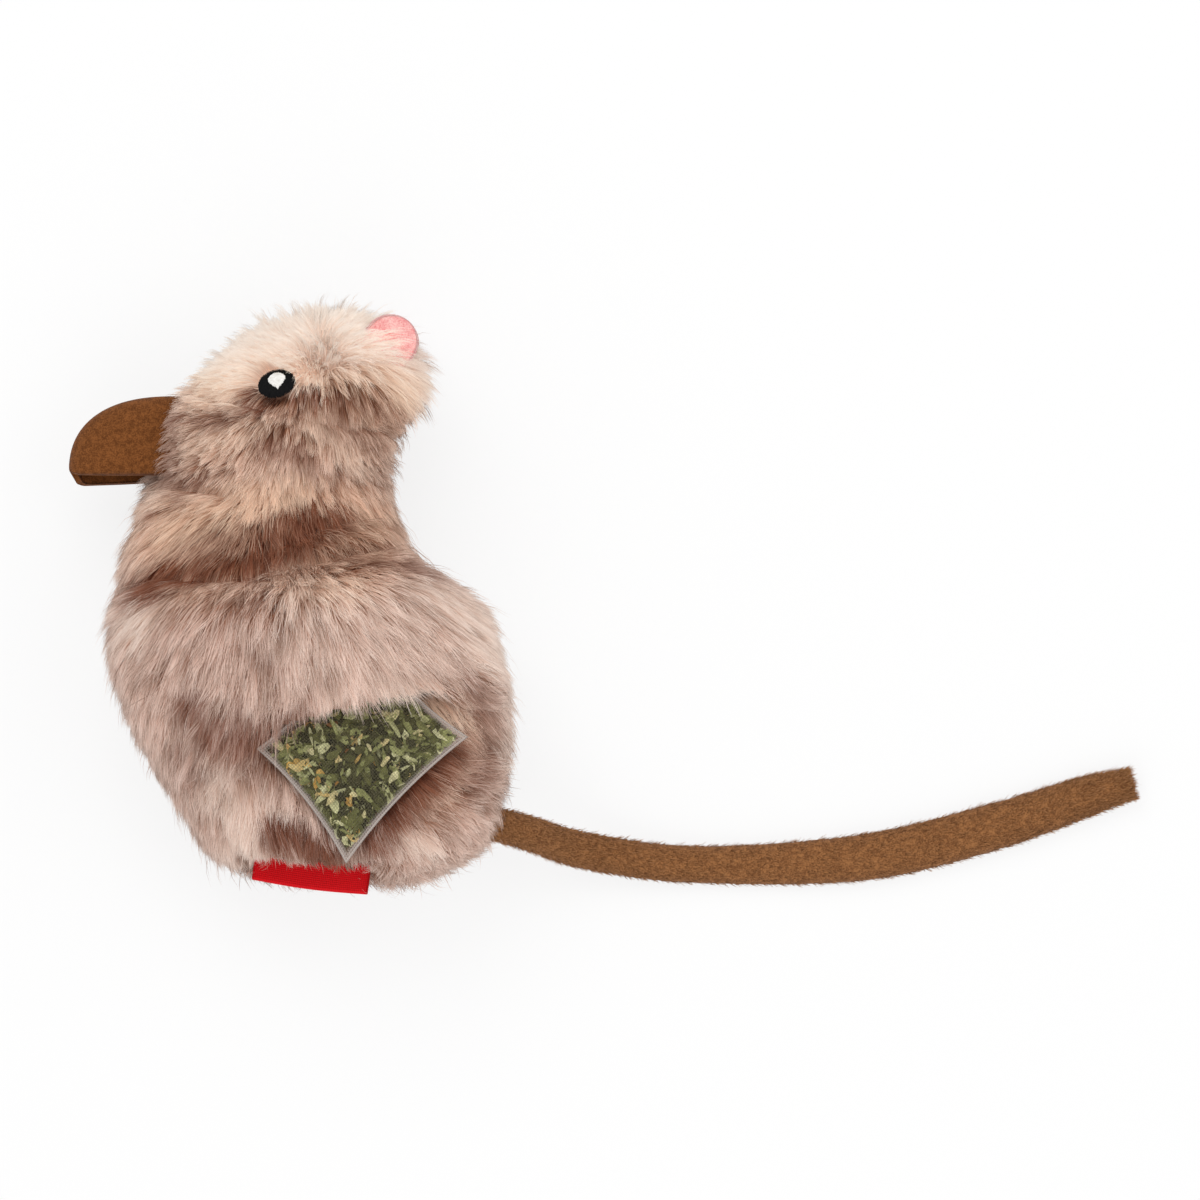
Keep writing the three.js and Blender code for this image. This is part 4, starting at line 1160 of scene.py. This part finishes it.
def snout_panel(side, hangs):
    """A quarter of an egg, from its open lower edge to the seam along its top."""
    egg = SNOUT_LENGTH * np.sin(np.linspace(0, 1.5, 32))
    lengthwise = np.concatenate([np.linspace(-RUN, -1, 6), egg])
    fat = (1 - (np.maximum(lengthwise, 0) / SNOUT_LENGTH) ** SNOUT_FULL) ** (1 / SNOUT_FULL)
    inner = SUEDE / 2
    tall = fat * (crest - foot - inner)
    into_corner = np.clip((lengthwise - SNOUT_LENGTH + CORNER_LONG) / CORNER_LONG, 0, 1)
    lift = CORNER_TALL * (1 - np.sqrt(1 - into_corner**2))
    start = np.arcsin(np.clip(lift / tall, 0, 0.98))[:, None]
    turns = start + (np.pi / 2 - start) * np.linspace(0, 1, 20)
    y = foot + tall[:, None] * np.sin(turns)
    z = seam_z + side * (0.12 + fat[:, None] * (SNOUT_HALF - inner) * np.cos(turns))
    x = np.broadcast_to((snout_x - lengthwise)[:, None], y.shape)
    panel = np.stack([x, y, z], -1)
    if hangs:
        forward = np.clip(lengthwise / SNOUT_LENGTH, 0, 1)[:, None]
        lowest = OVERHANG_AT_HEAD + (OVERHANG - OVERHANG_AT_HEAD) * forward
        drop = lowest * np.linspace(1, 0, 5)[:-1]
        lower = np.stack([drop * FRONT_SLANT * forward**6, -drop, np.zeros_like(drop)], -1)
        panel = np.concatenate([panel[:, :1] + lower, panel], 1)
    return panel if side < 0 else panel[:, ::-1]


for label, side, hangs in (("near", 1, False), ("far", -1, True)):
    piece = cloth_piece(f"snout_{label}", snout_panel(side, hangs), SUEDE, suede)
    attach(piece, "plush_body")
    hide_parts(f"snout_{label}_panel")
print("snout", SNOUT_LENGTH, "mm long")

# %% [markdown]
# ## The eyes
# Each eye is satin stitch: rows of black thread laid side by side over a low pad, with a drop of white
# on top. Every thread is a thin tube, so the eye catches light in fine lines as thread does.


# %% Threads
def tubes(paths, radius, sides=6):
    """Points and faces of closed tubes along paths of equal length."""
    paths = np.asarray(paths, float)
    count, steps = paths.shape[:2]
    along = unit(np.gradient(paths, axis=1))
    side = unit(np.cross(along, np.array([0.12, 0.2, 1.0])))
    up = np.cross(side, along)
    turn = np.linspace(0, math.tau, sides, endpoint=False)
    ring = side[..., None, :] * np.cos(turn)[:, None] + up[..., None, :] * np.sin(turn)[:, None]
    taper = np.ones(steps)
    taper[[0, -1]] = 0.5
    skin = paths[:, :, None] + ring * (radius * taper)[None, :, None, None]
    index = np.arange(count * steps * sides).reshape(count, steps, sides)
    after = np.roll(index, -1, 2)
    walls = np.stack([index[:, :-1], index[:, 1:], after[:, 1:], after[:, :-1]], -1).reshape(-1, 4)
    ends = [*index[:, 0].tolist(), *index[:, -1, ::-1].tolist()]
    return skin.reshape(-1, 3), [*walls[:, ::-1].tolist(), *[end[::-1] for end in ends]]


def thread(name, dark, light, gloss):
    """A sewing thread whose fine strands run from a dark to a light colour."""
    material, tree, shader = new_finish(name, 0.55, gloss)
    where = node(tree, "TexCoord").outputs["Object"]
    strands = node(tree, "TexNoise", {"Vector": where, "Scale": 2500.0, "Detail": 2.0})
    colour = ramp(tree, strands.outputs["Fac"], [(0.3, dark), (0.7, light)])
    tree.links.new(colour, shader.inputs["Base Color"])
    tree.links.new(bump(tree, strands.outputs["Fac"], 0.4, 0.05), shader.inputs["Normal"])
    return material


black_thread = thread("black_thread", srgb(2, 2, 3), srgb(14, 13, 14), 0.1)
white_thread = thread("white_thread", srgb(230, 226, 220), srgb(251, 249, 246), 0.4)


# %% Eyes
DROP_HALF, DROP_FOOT, DROP_TOP = 1.85, 2.1, 1.55  # the white drop, from its middle
PAD = 0.75  # how high the eye is padded


def stitches(edge, rows, lean, pitch, dome):
    """Paths of threads across a patch. edge gives the low and high end of the row at a place across."""
    across = (np.arange(rows) - (rows - 1) / 2) * pitch
    across = across + rng.normal(0, 0.02, rows)
    ends = np.array([edge(place) for place in across])
    t = np.linspace(0, 1, 11)
    length = ends[:, :1] + (ends[:, 1:] - ends[:, :1]) * t + rng.normal(0, 0.05, (rows, 1))
    cos, sin = math.cos(lean), math.sin(lean)
    x = across[:, None] * cos - length * sin
    y = across[:, None] * sin + length * cos
    return np.stack([x, y, dome(x, y)], -1)


def black_edge(place):
    """Ends of a row of the black oval."""
    reach = EYE_HALF[1] * math.sqrt(max(0.02, 1 - (place / EYE_HALF[0]) ** 2))
    return -reach, reach


def white_edge(place):
    """Ends of a row of the white drop, which is pointed below and round above."""
    share = min(1.0, abs(place) / DROP_HALF)
    return -DROP_FOOT * (1 - share) ** 0.8 - 0.15, DROP_TOP * math.sqrt(1 - share**2) + 0.1


def black_dome(x, y):
    """Height of the black threads over the cloth."""
    r = np.clip((x / EYE_HALF[0]) ** 2 + (y / EYE_HALF[1]) ** 2, 0, 1)
    return 0.15 + PAD * np.sqrt(1 - r * 0.98)


def white_dome(x, y):
    """Height of the white threads, which lie on the black ones."""
    return black_dome(x, y + 0.9) + 0.18 + 0.25 * np.exp(-(x**2 + y**2) / 2)


for label, side in (("near", 1), ("far", -1)):
    place, right, up, out = surface_axes(EYE_X, EYE_LEVEL, side, EYE_SINK)
    axes = np.array([right, up, out]) if side > 0 else np.array([right, -up, out])
    for part, edge, rows, pitch, dome, radius, lean, middle, material in (
        ("stitching", black_edge, 30, 0.27, black_dome, 0.19, 0.25, (0, 0), black_thread),
        ("highlight", white_edge, 15, 0.25, white_dome, 0.17, 0.2, (0.1, 0.75), white_thread),
    ):
        paths = stitches(edge, rows, lean, pitch, dome)
        paths[..., :2] += middle
        patch, faces = tubes(paths, radius)
        if side < 0:
            faces = [face[::-1] for face in faces]
        piece = mesh_piece(f"{label}_eye_{part}_threads", place + patch @ axes, faces, material)
        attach(piece, "plush_body")
        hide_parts(f"{label}_eye_{part}")
print("eyes at", EYE_X, EYE_LEVEL)

# %% [markdown]
# ## The ears
# Each ear is a petal of brushed pink cloth sewn to a plush back. It is slightly cupped,
# and the pile of the head grows over its root.

# %% Ears
EAR_PETAL, EAR_CLOTH = 0.8, 1.0  # thickness of the pink cloth and of the plush back
EAR_HAIRS, EAR_HAIR_LONG = 900, 4
pink = napped("pink_felt", srgb(232, 140, 140), srgb(250, 200, 194), 2.2, 0.3, 0.15, sheen=0.3)


def ear_half(length):
    """Half the ear's width at a place along it."""
    straight = EAR_LENGTH - EAR_TIP
    t = np.clip(length / straight, 0, 1)
    flare = EAR_ROOT * (1 - t) ** 2 + 2 * EAR_TIP * t * (1 - t) + EAR_TIP * t * t
    tip = np.sqrt(np.clip(EAR_TIP**2 - np.maximum(length - straight, 0) ** 2, 0.02, None))
    return np.minimum(flare, tip)


def ear_sheet(height, shrink):
    """A cupped petal at a height, drawn in from the ear's edge."""
    t = np.linspace(0, 1, 30)
    length = (EAR_LENGTH - shrink) * (1 - (1 - t) ** 1.5)
    across = np.linspace(-1, 1, 21)
    x = np.outer(ear_half(length) - shrink * (length / EAR_LENGTH), across)
    y = np.broadcast_to(length[:, None], x.shape)
    cup = 0.9 * (x / EAR_TIP) ** 2 * (y / EAR_LENGTH) + 0.5 * np.sin(y / EAR_LENGTH * 2.2)
    return np.stack([x, y, height + cup], -1)


for label, (place, axes) in EARS.items():
    lining = cloth_piece(f"{label}_ear_petal", place + ear_sheet(-0.2, 0.0) @ axes, EAR_PETAL, pink)
    back_cloth = ear_sheet(-1.45, 0.4)
    back = cloth_piece(f"{label}_ear_cloth", place + back_cloth @ axes, EAR_CLOTH, backing)
    store(back.data, "bleach", np.full(len(back.data.vertices), 0.8))
    rows, columns = back_cloth.shape[:2]
    chosen = rng.integers(0, rows - 9, EAR_HAIRS), rng.integers(2, columns - 2, EAR_HAIRS)
    ear_root = back_cloth[chosen] + rng.normal(0, 0.15, (EAR_HAIRS, 3)) * (1, 1, 0)
    fall = np.array([0.0, 0.35, -0.45]) + rng.normal(0, 0.15, (EAR_HAIRS, 3))
    ear_hair = ear_root[:, None] + (fall * EAR_HAIR_LONG)[:, None] * STEPS[None, :, None]
    ear_hair[..., 2] -= 0.4
    ear_hair = place + ear_hair @ axes
    down = np.broadcast_to(-axes[2], (EAR_HAIRS, 3))
    values = {
        "band_and_shadow": np.full(EAR_HAIRS, 0.05),
        "bleach": rng.uniform(0.5, 1, EAR_HAIRS),
        "shade": rng.uniform(0.3, 1, EAR_HAIRS),
        "warm": np.zeros(EAR_HAIRS),
    }
    pile = ribbons(f"{label}_ear_pile", ear_hair, down, values, HAIR_HALF, fur)
    for piece, slot in ((lining, "pink_felt"), (back, "plush"), (pile, "plush")):
        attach(piece, f"{label}_ear")
    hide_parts(f"{label}_ear_lining")
    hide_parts(f"{label}_ear_back")

# %% [markdown]
# ## The tail
# The tail is a slim tube of velour with a little filling, sewn along one edge and pressed nearly flat.
# It comes down from the seam of the rump and lies on the floor in a long bend.

# %% Tail
TAIL_SPAN, TAIL_SWAY, TAIL_WIDTH, TAIL_THICK = 142, 9.9, 9.9, 5.6
# Shares of the span, the sway, the drop to the floor and the width
TAIL_ROUTE = [
    (0, 0, 0, 0.7), (0.07, -0.25, 0.26, 0.72), (0.17, -0.7, 0.76, 0.78), (0.34, -1, 1, 0.8),
    (0.59, -0.85, 1, 1), (0.79, -0.18, 1, 1), (0.93, 0.48, 1, 0.86), (1, 0.76, 1, 0.64),
]
TAIL_BLUNT = 0.985  # where the rounding of its tip starts
velour = napped("velour", srgb(114, 72, 40), srgb(158, 107, 64), 1.4, 0.35, 0.2, sheen=0.15)
tail_root = in_toy(JOINTS["tail_swing"]["pos_m"])
drop = tail_root[2] - TAIL_THICK / 2 + SETTLE
stations = np.linspace(0, 1, len(TAIL_ROUTE))
route_at = smooth_through([(at, *row) for at, row in zip(stations, TAIL_ROUTE)])
fine = np.linspace(0, 1, 221)
route = route_at(fine)
centre_line = tail_root + route[:, :3] * (TAIL_SPAN, TAIL_SWAY, -drop)
run = unit(np.gradient(centre_line, axis=0))
side = unit(np.cross(np.array([0.0, 0, 1]), run))
up = np.cross(run, side)
tip = np.clip(1 - np.clip((fine - TAIL_BLUNT) / (1 - TAIL_BLUNT), 0, 1) ** 3, 0.002, 1) ** (1 / 3)
half_width = TAIL_WIDTH * route[:, 3] / 2 * tip
half_thick = np.minimum(TAIL_THICK / 2, half_width) * tip
turn = np.linspace(0, math.tau, 40, endpoint=False)
swell = np.sign(np.cos(turn)) * np.abs(np.cos(turn)) ** 0.9
tube = centre_line[:, None] + side[:, None] * (half_width[:, None] * swell)[..., None]
tube = tube + up[:, None] * (half_thick[:, None] * np.sin(turn))[..., None]
tube[..., 2] = np.maximum(tube[..., 2], 0.05)
rings, ring_points = tube.shape[:2]
index = np.arange(rings * ring_points).reshape(rings, ring_points)
after = np.roll(index, -1, 1)
walls = np.stack([index[:-1], after[:-1], after[1:], index[1:]], -1).reshape(-1, 4).tolist()
ends = [index[0, ::-1].tolist(), index[-1].tolist()]
tail = mesh_piece("tail_tube", tube.reshape(-1, 3), [*walls, *ends], velour)
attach(tail, "tail")
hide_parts("tail")
print("tail", rings, "rings")

# %% Nap of the tail
NAP_HAIRS, NAP_LONG, NAP_TALL, NAP_HALF = 18000, 1.2, 0.22, 0.06
tail_nap, tree, shader = new_finish("velour_nap", 0.8, 0.15)
along, tone = stored(tree, "along"), stored(tree, "shade")
nap_colour = ramp(tree, along, [(0, srgb(108, 67, 36)), (1, srgb(190, 136, 90))])
nap_shade = ramp(tree, tone, [(0, (0.6, 0.57, 0.53, 1)), (1, (1.1, 1.1, 1.1, 1))])
tree.links.new(blend_colours(tree, 1.0, nap_colour, nap_shade, "MULTIPLY"), shader.inputs["Base Color"])
ring, spot = rng.integers(1, rings, NAP_HAIRS), rng.integers(0, ring_points, NAP_HAIRS)
between = rng.random((NAP_HAIRS, 1))
nap_root = tube[ring, spot] * between + tube[ring, (spot + 1) % ring_points] * (1 - between)
nap_lay = unit(nap_root - centre_line[ring])
nap_root = nap_root + run[ring] * rng.uniform(-0.35, 0.35, (NAP_HAIRS, 1))
nap_flow = run[ring] + rng.normal(0, 0.3, (NAP_HAIRS, 3))
nap_hair = nap_root[:, None] + (nap_flow * NAP_LONG)[:, None] * STEPS[None, :, None]
nap_hair += (nap_lay * NAP_TALL)[:, None] * np.sin(STEPS * 2)[None, :, None]
nap_hair[..., 2] = np.maximum(nap_hair[..., 2], 0.1)
nap_values = {"shade": rng.uniform(0, 1, NAP_HAIRS)}
nap_piece = ribbons("tail_nap", nap_hair, nap_lay, nap_values, NAP_HALF, tail_nap)
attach(nap_piece, "tail")

# %% [markdown]
# ## The label
# A strip of red satin ribbon is folded in two and caught in the seam under the seat. It is one sheet
# that runs out, turns round a narrow fold and runs back, so its flat length can be read off the model.

# %% Label
LABEL_WIDTH, LABEL_DROP, LABEL_WEAVE = 25, 7.6, 0.4
LABEL_FOLD = 0.4  # half the gap and half the cloth, to the middle of each layer
LABEL_ROWS, LABEL_COLUMNS = 12, 41  # points along each layer and across it
LABEL_SAG, LABEL_WAVE = 0.5, 0.35


def place_in_mm(mesh, name, values):
    """Stores a place on the cloth, in mm, at each point of a mesh."""
    filled = np.zeros((len(mesh.vertices), 3), np.float32)
    filled[:, :2] = values
    mesh.attributes.new(name, "FLOAT_VECTOR", "POINT").data.foreach_set("vector", filled.ravel())


red, tree, shader = new_finish("red_weave", 0.6, 0.15)
cloth_place = stored(tree, "cloth", "Vector")
woven = place_group(tree, weave, {"Place": cloth_place, "Threads": 2.4})
tone = node(tree, "MapRange", {"Value": woven["Height"], "From Max": 2.0}).outputs[0]
tree.links.new(blend_colours(tree, tone, srgb(200, 2, 12), srgb(246, 10, 26)), shader.inputs["Base Color"])
tree.links.new(bump(tree, woven["Height"], 0.5, 0.12), shader.inputs["Normal"])

out_to = LABEL_DROP - LABEL_FOLD
bend = np.linspace(-math.pi / 2, math.pi / 2, 9)[1:-1]
layer_out = np.linspace(0, out_to, LABEL_ROWS)
layer_back = np.linspace(out_to, 0, LABEL_ROWS)
layer_up = np.full(LABEL_ROWS, LABEL_FOLD)
strip_out = np.concatenate([layer_out, out_to + LABEL_FOLD * np.cos(bend), layer_back])
strip_up = np.concatenate([-layer_up, LABEL_FOLD * np.sin(bend), layer_up])
across = np.linspace(-LABEL_WIDTH / 2, LABEL_WIDTH / 2, LABEL_COLUMNS)
sag = LABEL_SAG * np.sin((across / LABEL_WIDTH + 0.5) * math.pi)
wave = LABEL_WAVE * np.sin(across / 5.0)
free = (strip_out / LABEL_DROP)[:, None]
strip_places = across, strip_out[:, None] + sag * free, strip_up[:, None] + wave * free
strip = np.stack(np.broadcast_arrays(*strip_places), -1)
label = cloth_piece("label_strip", LABEL[0] + strip @ LABEL[1], LABEL_WEAVE, red)
unrolled = np.cumsum(np.hypot(np.diff(strip_out, prepend=0), np.diff(strip_up, prepend=-LABEL_FOLD)))
flat = np.stack(np.broadcast_arrays(across, unrolled[:, None]), -1).reshape(-1, 2)
rim_count = len(label.data.vertices) - 2 * len(flat)
place_in_mm(label.data, "cloth", np.concatenate([flat, flat, np.zeros((rim_count, 2))]))
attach(label, "label")
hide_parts("woven_label")
print("label", LABEL_WIDTH, "by", unrolled[-1])

# %% [markdown]
# ## The bag of catnip
# Two sheets of sheer nylon are welded along four sides round crumbled leaves. The sheets swell over
# the leaves and lie flat at the weld, where the double cloth is paler. The leaves are loose flakes,
# each slightly curled.

# %% Mesh sheets
MESH, MESH_SHOWN = 0.3, 0.06  # thickness that a sheet takes up, and that of its threads
BAG_DRAWN_IN = 1.5  # how far the filling draws the middle of each side in
RIPPLE = 0.16
nylon, tree, shader = new_finish("nylon_mesh", 0.5, 0.2)
cloth_place, weld = stored(tree, "cloth", "Vector"), stored(tree, "weld")
woven = place_group(tree, weave, {"Place": cloth_place, "Threads": 1.65})
threads = node(tree, "MapRange", {"Value": woven["Cover"], "From Min": 0.5, "To Min": 0.0, "To Max": 0.22})
edge = node(tree, "MapRange", {"Value": weld, "From Min": 0.9, "To Max": 0.36})
veil = reckon(tree, "ADD", threads.outputs[0], reckon(tree, "MULTIPLY", weld, 0.12))
tree.links.new(reckon(tree, "ADD", veil, edge.outputs[0]), shader.inputs["Alpha"])
sheer = [(0, srgb(116, 111, 88)), (0.5, srgb(196, 184, 174)), (1, srgb(204, 192, 184))]
tree.links.new(ramp(tree, weld, sheer), shader.inputs["Base Color"])


def puff(a, b):
    """How far the bag swells at shares of its half length and half width."""
    a = np.clip(a * BAG_LENGTH / (BAG_LENGTH - 2 * BAG_SEAL), -1, 1)
    b = np.clip(b * BAG_WIDTH / (BAG_WIDTH - 2 * BAG_SEAL), -1, 1)
    return BAG_PUFF * ((1 - a * a) * (1 - b * b)) ** 0.6


def bag_place(points):
    """Places in the bag's own frame as places of the toy, with its sides drawn in."""
    shares = np.clip(points[:, :2] / BAG_HALVES, -1, 1)
    drawn = points.copy()
    drawn[:, :2] -= shares * BAG_DRAWN_IN * (1 - shares[:, ::-1] ** 2)
    drawn[:, 0] += bag_gathered(shares)
    return BAG_ORIGIN + drawn @ BAG_AXES


a, b = np.meshgrid(np.linspace(-1, 1, 77), np.linspace(-1, 1, 63))
ripple = RIPPLE * np.sin(a * 17 + b * 5) * np.cos(b * 13 - a * 4)
for label, sign in (("near", 1), ("far", -1)):
    height = sign * (0.15 + MESH / 2 + puff(a, b) + ripple * (puff(a, b) / BAG_PUFF))
    sheet = np.stack([a * BAG_LENGTH / 2, b * BAG_WIDTH / 2, height], -1)
    cloth, faces = thick_cloth(sheet[:, ::-1] if sign > 0 else sheet, MESH_SHOWN)
    piece = mesh_piece(f"bag_{label}_sheet", bag_place(cloth), faces, nylon)
    place_in_mm(piece.data, "cloth", cloth[:, :2])
    in_bag = (cloth[:, :2] / BAG_HALVES).clip(-1, 1)
    from_edge = ((1 - np.abs(in_bag)) * BAG_HALVES).min(1)
    store(piece.data, "weld", 1 - ease(0.2, 2.0, from_edge))
    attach(piece, "bag")
    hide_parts(f"bag_{label}_mesh")
print("bag", BAG_LENGTH, "by", BAG_WIDTH)

# %% Leaves
FLAKES = 2300
STEMS, BITS = 0.06, 0.42  # shares of stems and of larger bits of leaf among the crumbs
LEAF_ROOM = BAG_HALVES - 1  # from the bag's middle to its weld
FLAKE_SIDES, FLAKE_THICK = 8, 0.12
PALE_KIND, PALE_END = 0.78, 0.35  # the larger, paler leaves lie at one end
leaf, tree, shader = new_finish("dried_leaf", 0.85, 0.2)
greens = ramp(tree, stored(tree, "tint"), [
    (0.0, srgb(24, 22, 12)), (0.3, srgb(62, 58, 32)), (0.55, srgb(106, 106, 60)), (0.72, srgb(160, 162, 106)),
    (0.84, srgb(226, 222, 178)), (0.93, srgb(220, 172, 88)), (1.0, srgb(132, 80, 42)),
])
where = node(tree, "TexCoord").outputs["Object"]
veins = node(tree, "TexNoise", {"Vector": where, "Scale": 900.0, "Detail": 4.0})
spots = ramp(tree, veins.outputs["Fac"], [(0.3, (0.6, 0.6, 0.55, 1)), (0.7, (1.15, 1.15, 1.1, 1))])
tree.links.new(blend_colours(tree, 1.0, greens, spots, "MULTIPLY"), shader.inputs["Base Color"])
tree.links.new(bump(tree, veins.outputs["Fac"], 0.7, 0.2), shader.inputs["Normal"])

flake_points, flake_faces, flake_tint = [], [], []
for _ in range(FLAKES):
    spot = rng.uniform(-1, 1, 2) * 0.95
    room = float(puff(*spot)) - 0.2
    if room < 0.1:
        continue
    sort = rng.random()
    if sort < STEMS:
        length, plump, kind = rng.uniform(3, 7), rng.uniform(0.12, 0.24), rng.uniform(0.6, 0.92)
    elif sort < STEMS + BITS:
        length, plump, kind = rng.uniform(2, 5.5), rng.uniform(0.3, 0.6), rng.beta(1.6, 1.5)
    else:
        length, plump, kind = rng.uniform(0.8, 2.2), rng.uniform(0.35, 0.8), rng.beta(1.2, 2.2)
    kind += (PALE_KIND - kind) * PALE_END * max(0, spot[0])
    turn = rng.uniform(0, math.tau) + np.linspace(0, math.tau, FLAKE_SIDES, endpoint=False)
    rim = np.stack([np.cos(turn) * length, np.sin(turn) * length * plump, np.zeros(FLAKE_SIDES)], -1) / 2
    rim *= rng.uniform(0.65, 1.15, (FLAKE_SIDES, 1))
    curl = rng.uniform(-0.25, 0.25)
    rim[:, 2] = curl * (rim[:, 0] ** 2) / max(length, 1) + rng.normal(0, 0.05, FLAKE_SIDES)
    heading, tilt_x, tilt_y = rng.uniform(0, math.tau), *rng.normal(0, 0.22, 2)
    cos, sin = math.cos(heading), math.sin(heading)
    rim = rim @ np.array([[cos, sin, 0], [-sin, cos, 0], [0, 0, 1]])
    rim[:, 2] += rim[:, 0] * tilt_x + rim[:, 1] * tilt_y
    deep = rng.uniform(-0.5, 1.0) * room
    flake_at = np.array([*(spot * BAG_HALVES), deep])
    body = np.concatenate([rim, rim.mean(0, keepdims=True) + [[0, 0, curl]]]) + flake_at
    body[:, :2] = np.clip(body[:, :2], -LEAF_ROOM, LEAF_ROOM)
    limit = puff(*np.clip(body[:, :2] / BAG_HALVES, -1, 1).T)
    body[:, 2] = np.clip(body[:, 2], -limit, limit)
    start = len(flake_points)
    flake_points += [*body, *(body - [0, 0, FLAKE_THICK])]
    under = start + FLAKE_SIDES + 1
    for k in range(FLAKE_SIDES):
        n = (k + 1) % FLAKE_SIDES
        flake_faces.append((start + k, start + n, start + FLAKE_SIDES))
        flake_faces.append((under + n, under + k, under + FLAKE_SIDES))
        flake_faces.append((start + n, start + k, under + k, under + n))
    flake_tint += [kind] * (2 * FLAKE_SIDES + 2)
leaves = mesh_piece("catnip_flakes", bag_place(np.array(flake_points)), flake_faces, leaf, smooth=False)
store(leaves.data, "tint", flake_tint)
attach(leaves, "bag")
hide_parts("catnip_leaves")
print("flakes", FLAKES, "faces", len(flake_faces))

# %% [markdown]
# ## The pocket's lining
# The lining is a flat sock of thin matt cloth behind the flap, sewn shut at its end. It only shows
# when the bag is drawn out. It is one sheet rolled round, wrinkled a little, with its mouth set back
# under the fringe.

# %% Lining
LINING_CLOTH = 0.5
LINING_HALF = 4.2  # half its thickness where it is open
MOUTH_NEAR, MOUTH_FAR = 2.5, 0.5  # where the upper and the lower lip of its mouth lie
lining_finish = napped("lining", srgb(150, 128, 110), srgb(182, 160, 142), 5, 0.5, 0.1)
around = np.linspace(0, math.tau, 97)
into = np.linspace(0, 1, 40)[:, None]
lip = (MOUTH_NEAR + MOUTH_FAR) / 2 + (MOUTH_NEAR - MOUTH_FAR) / 2 * np.cos(around)
sock_v = lip + (POCKET_DEPTH - lip) * into
wide = POCKET_MOUTH + (POCKET_END - POCKET_MOUTH) * sock_v / POCKET_DEPTH - 2 * LINING_CLOTH
sock_u = wide / 2 * np.sin(around)
open_share = np.sqrt(np.clip(1 - into**4, 0, 1))
sock_w = (LINING_HALF * open_share + 0.3) * np.cos(around)
sock_w = sock_w + 0.2 * np.sin(sock_u * 0.8 + sock_v * 0.5) * open_share
sock = POCKET_ORIGIN + np.stack([sock_u, sock_v, sock_w], -1) @ POCKET_AXES
pocket_cloth = cloth_piece("pocket_cloth", sock, LINING_CLOTH, lining_finish)
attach(pocket_cloth, "plush_body")
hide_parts("pocket_lining")
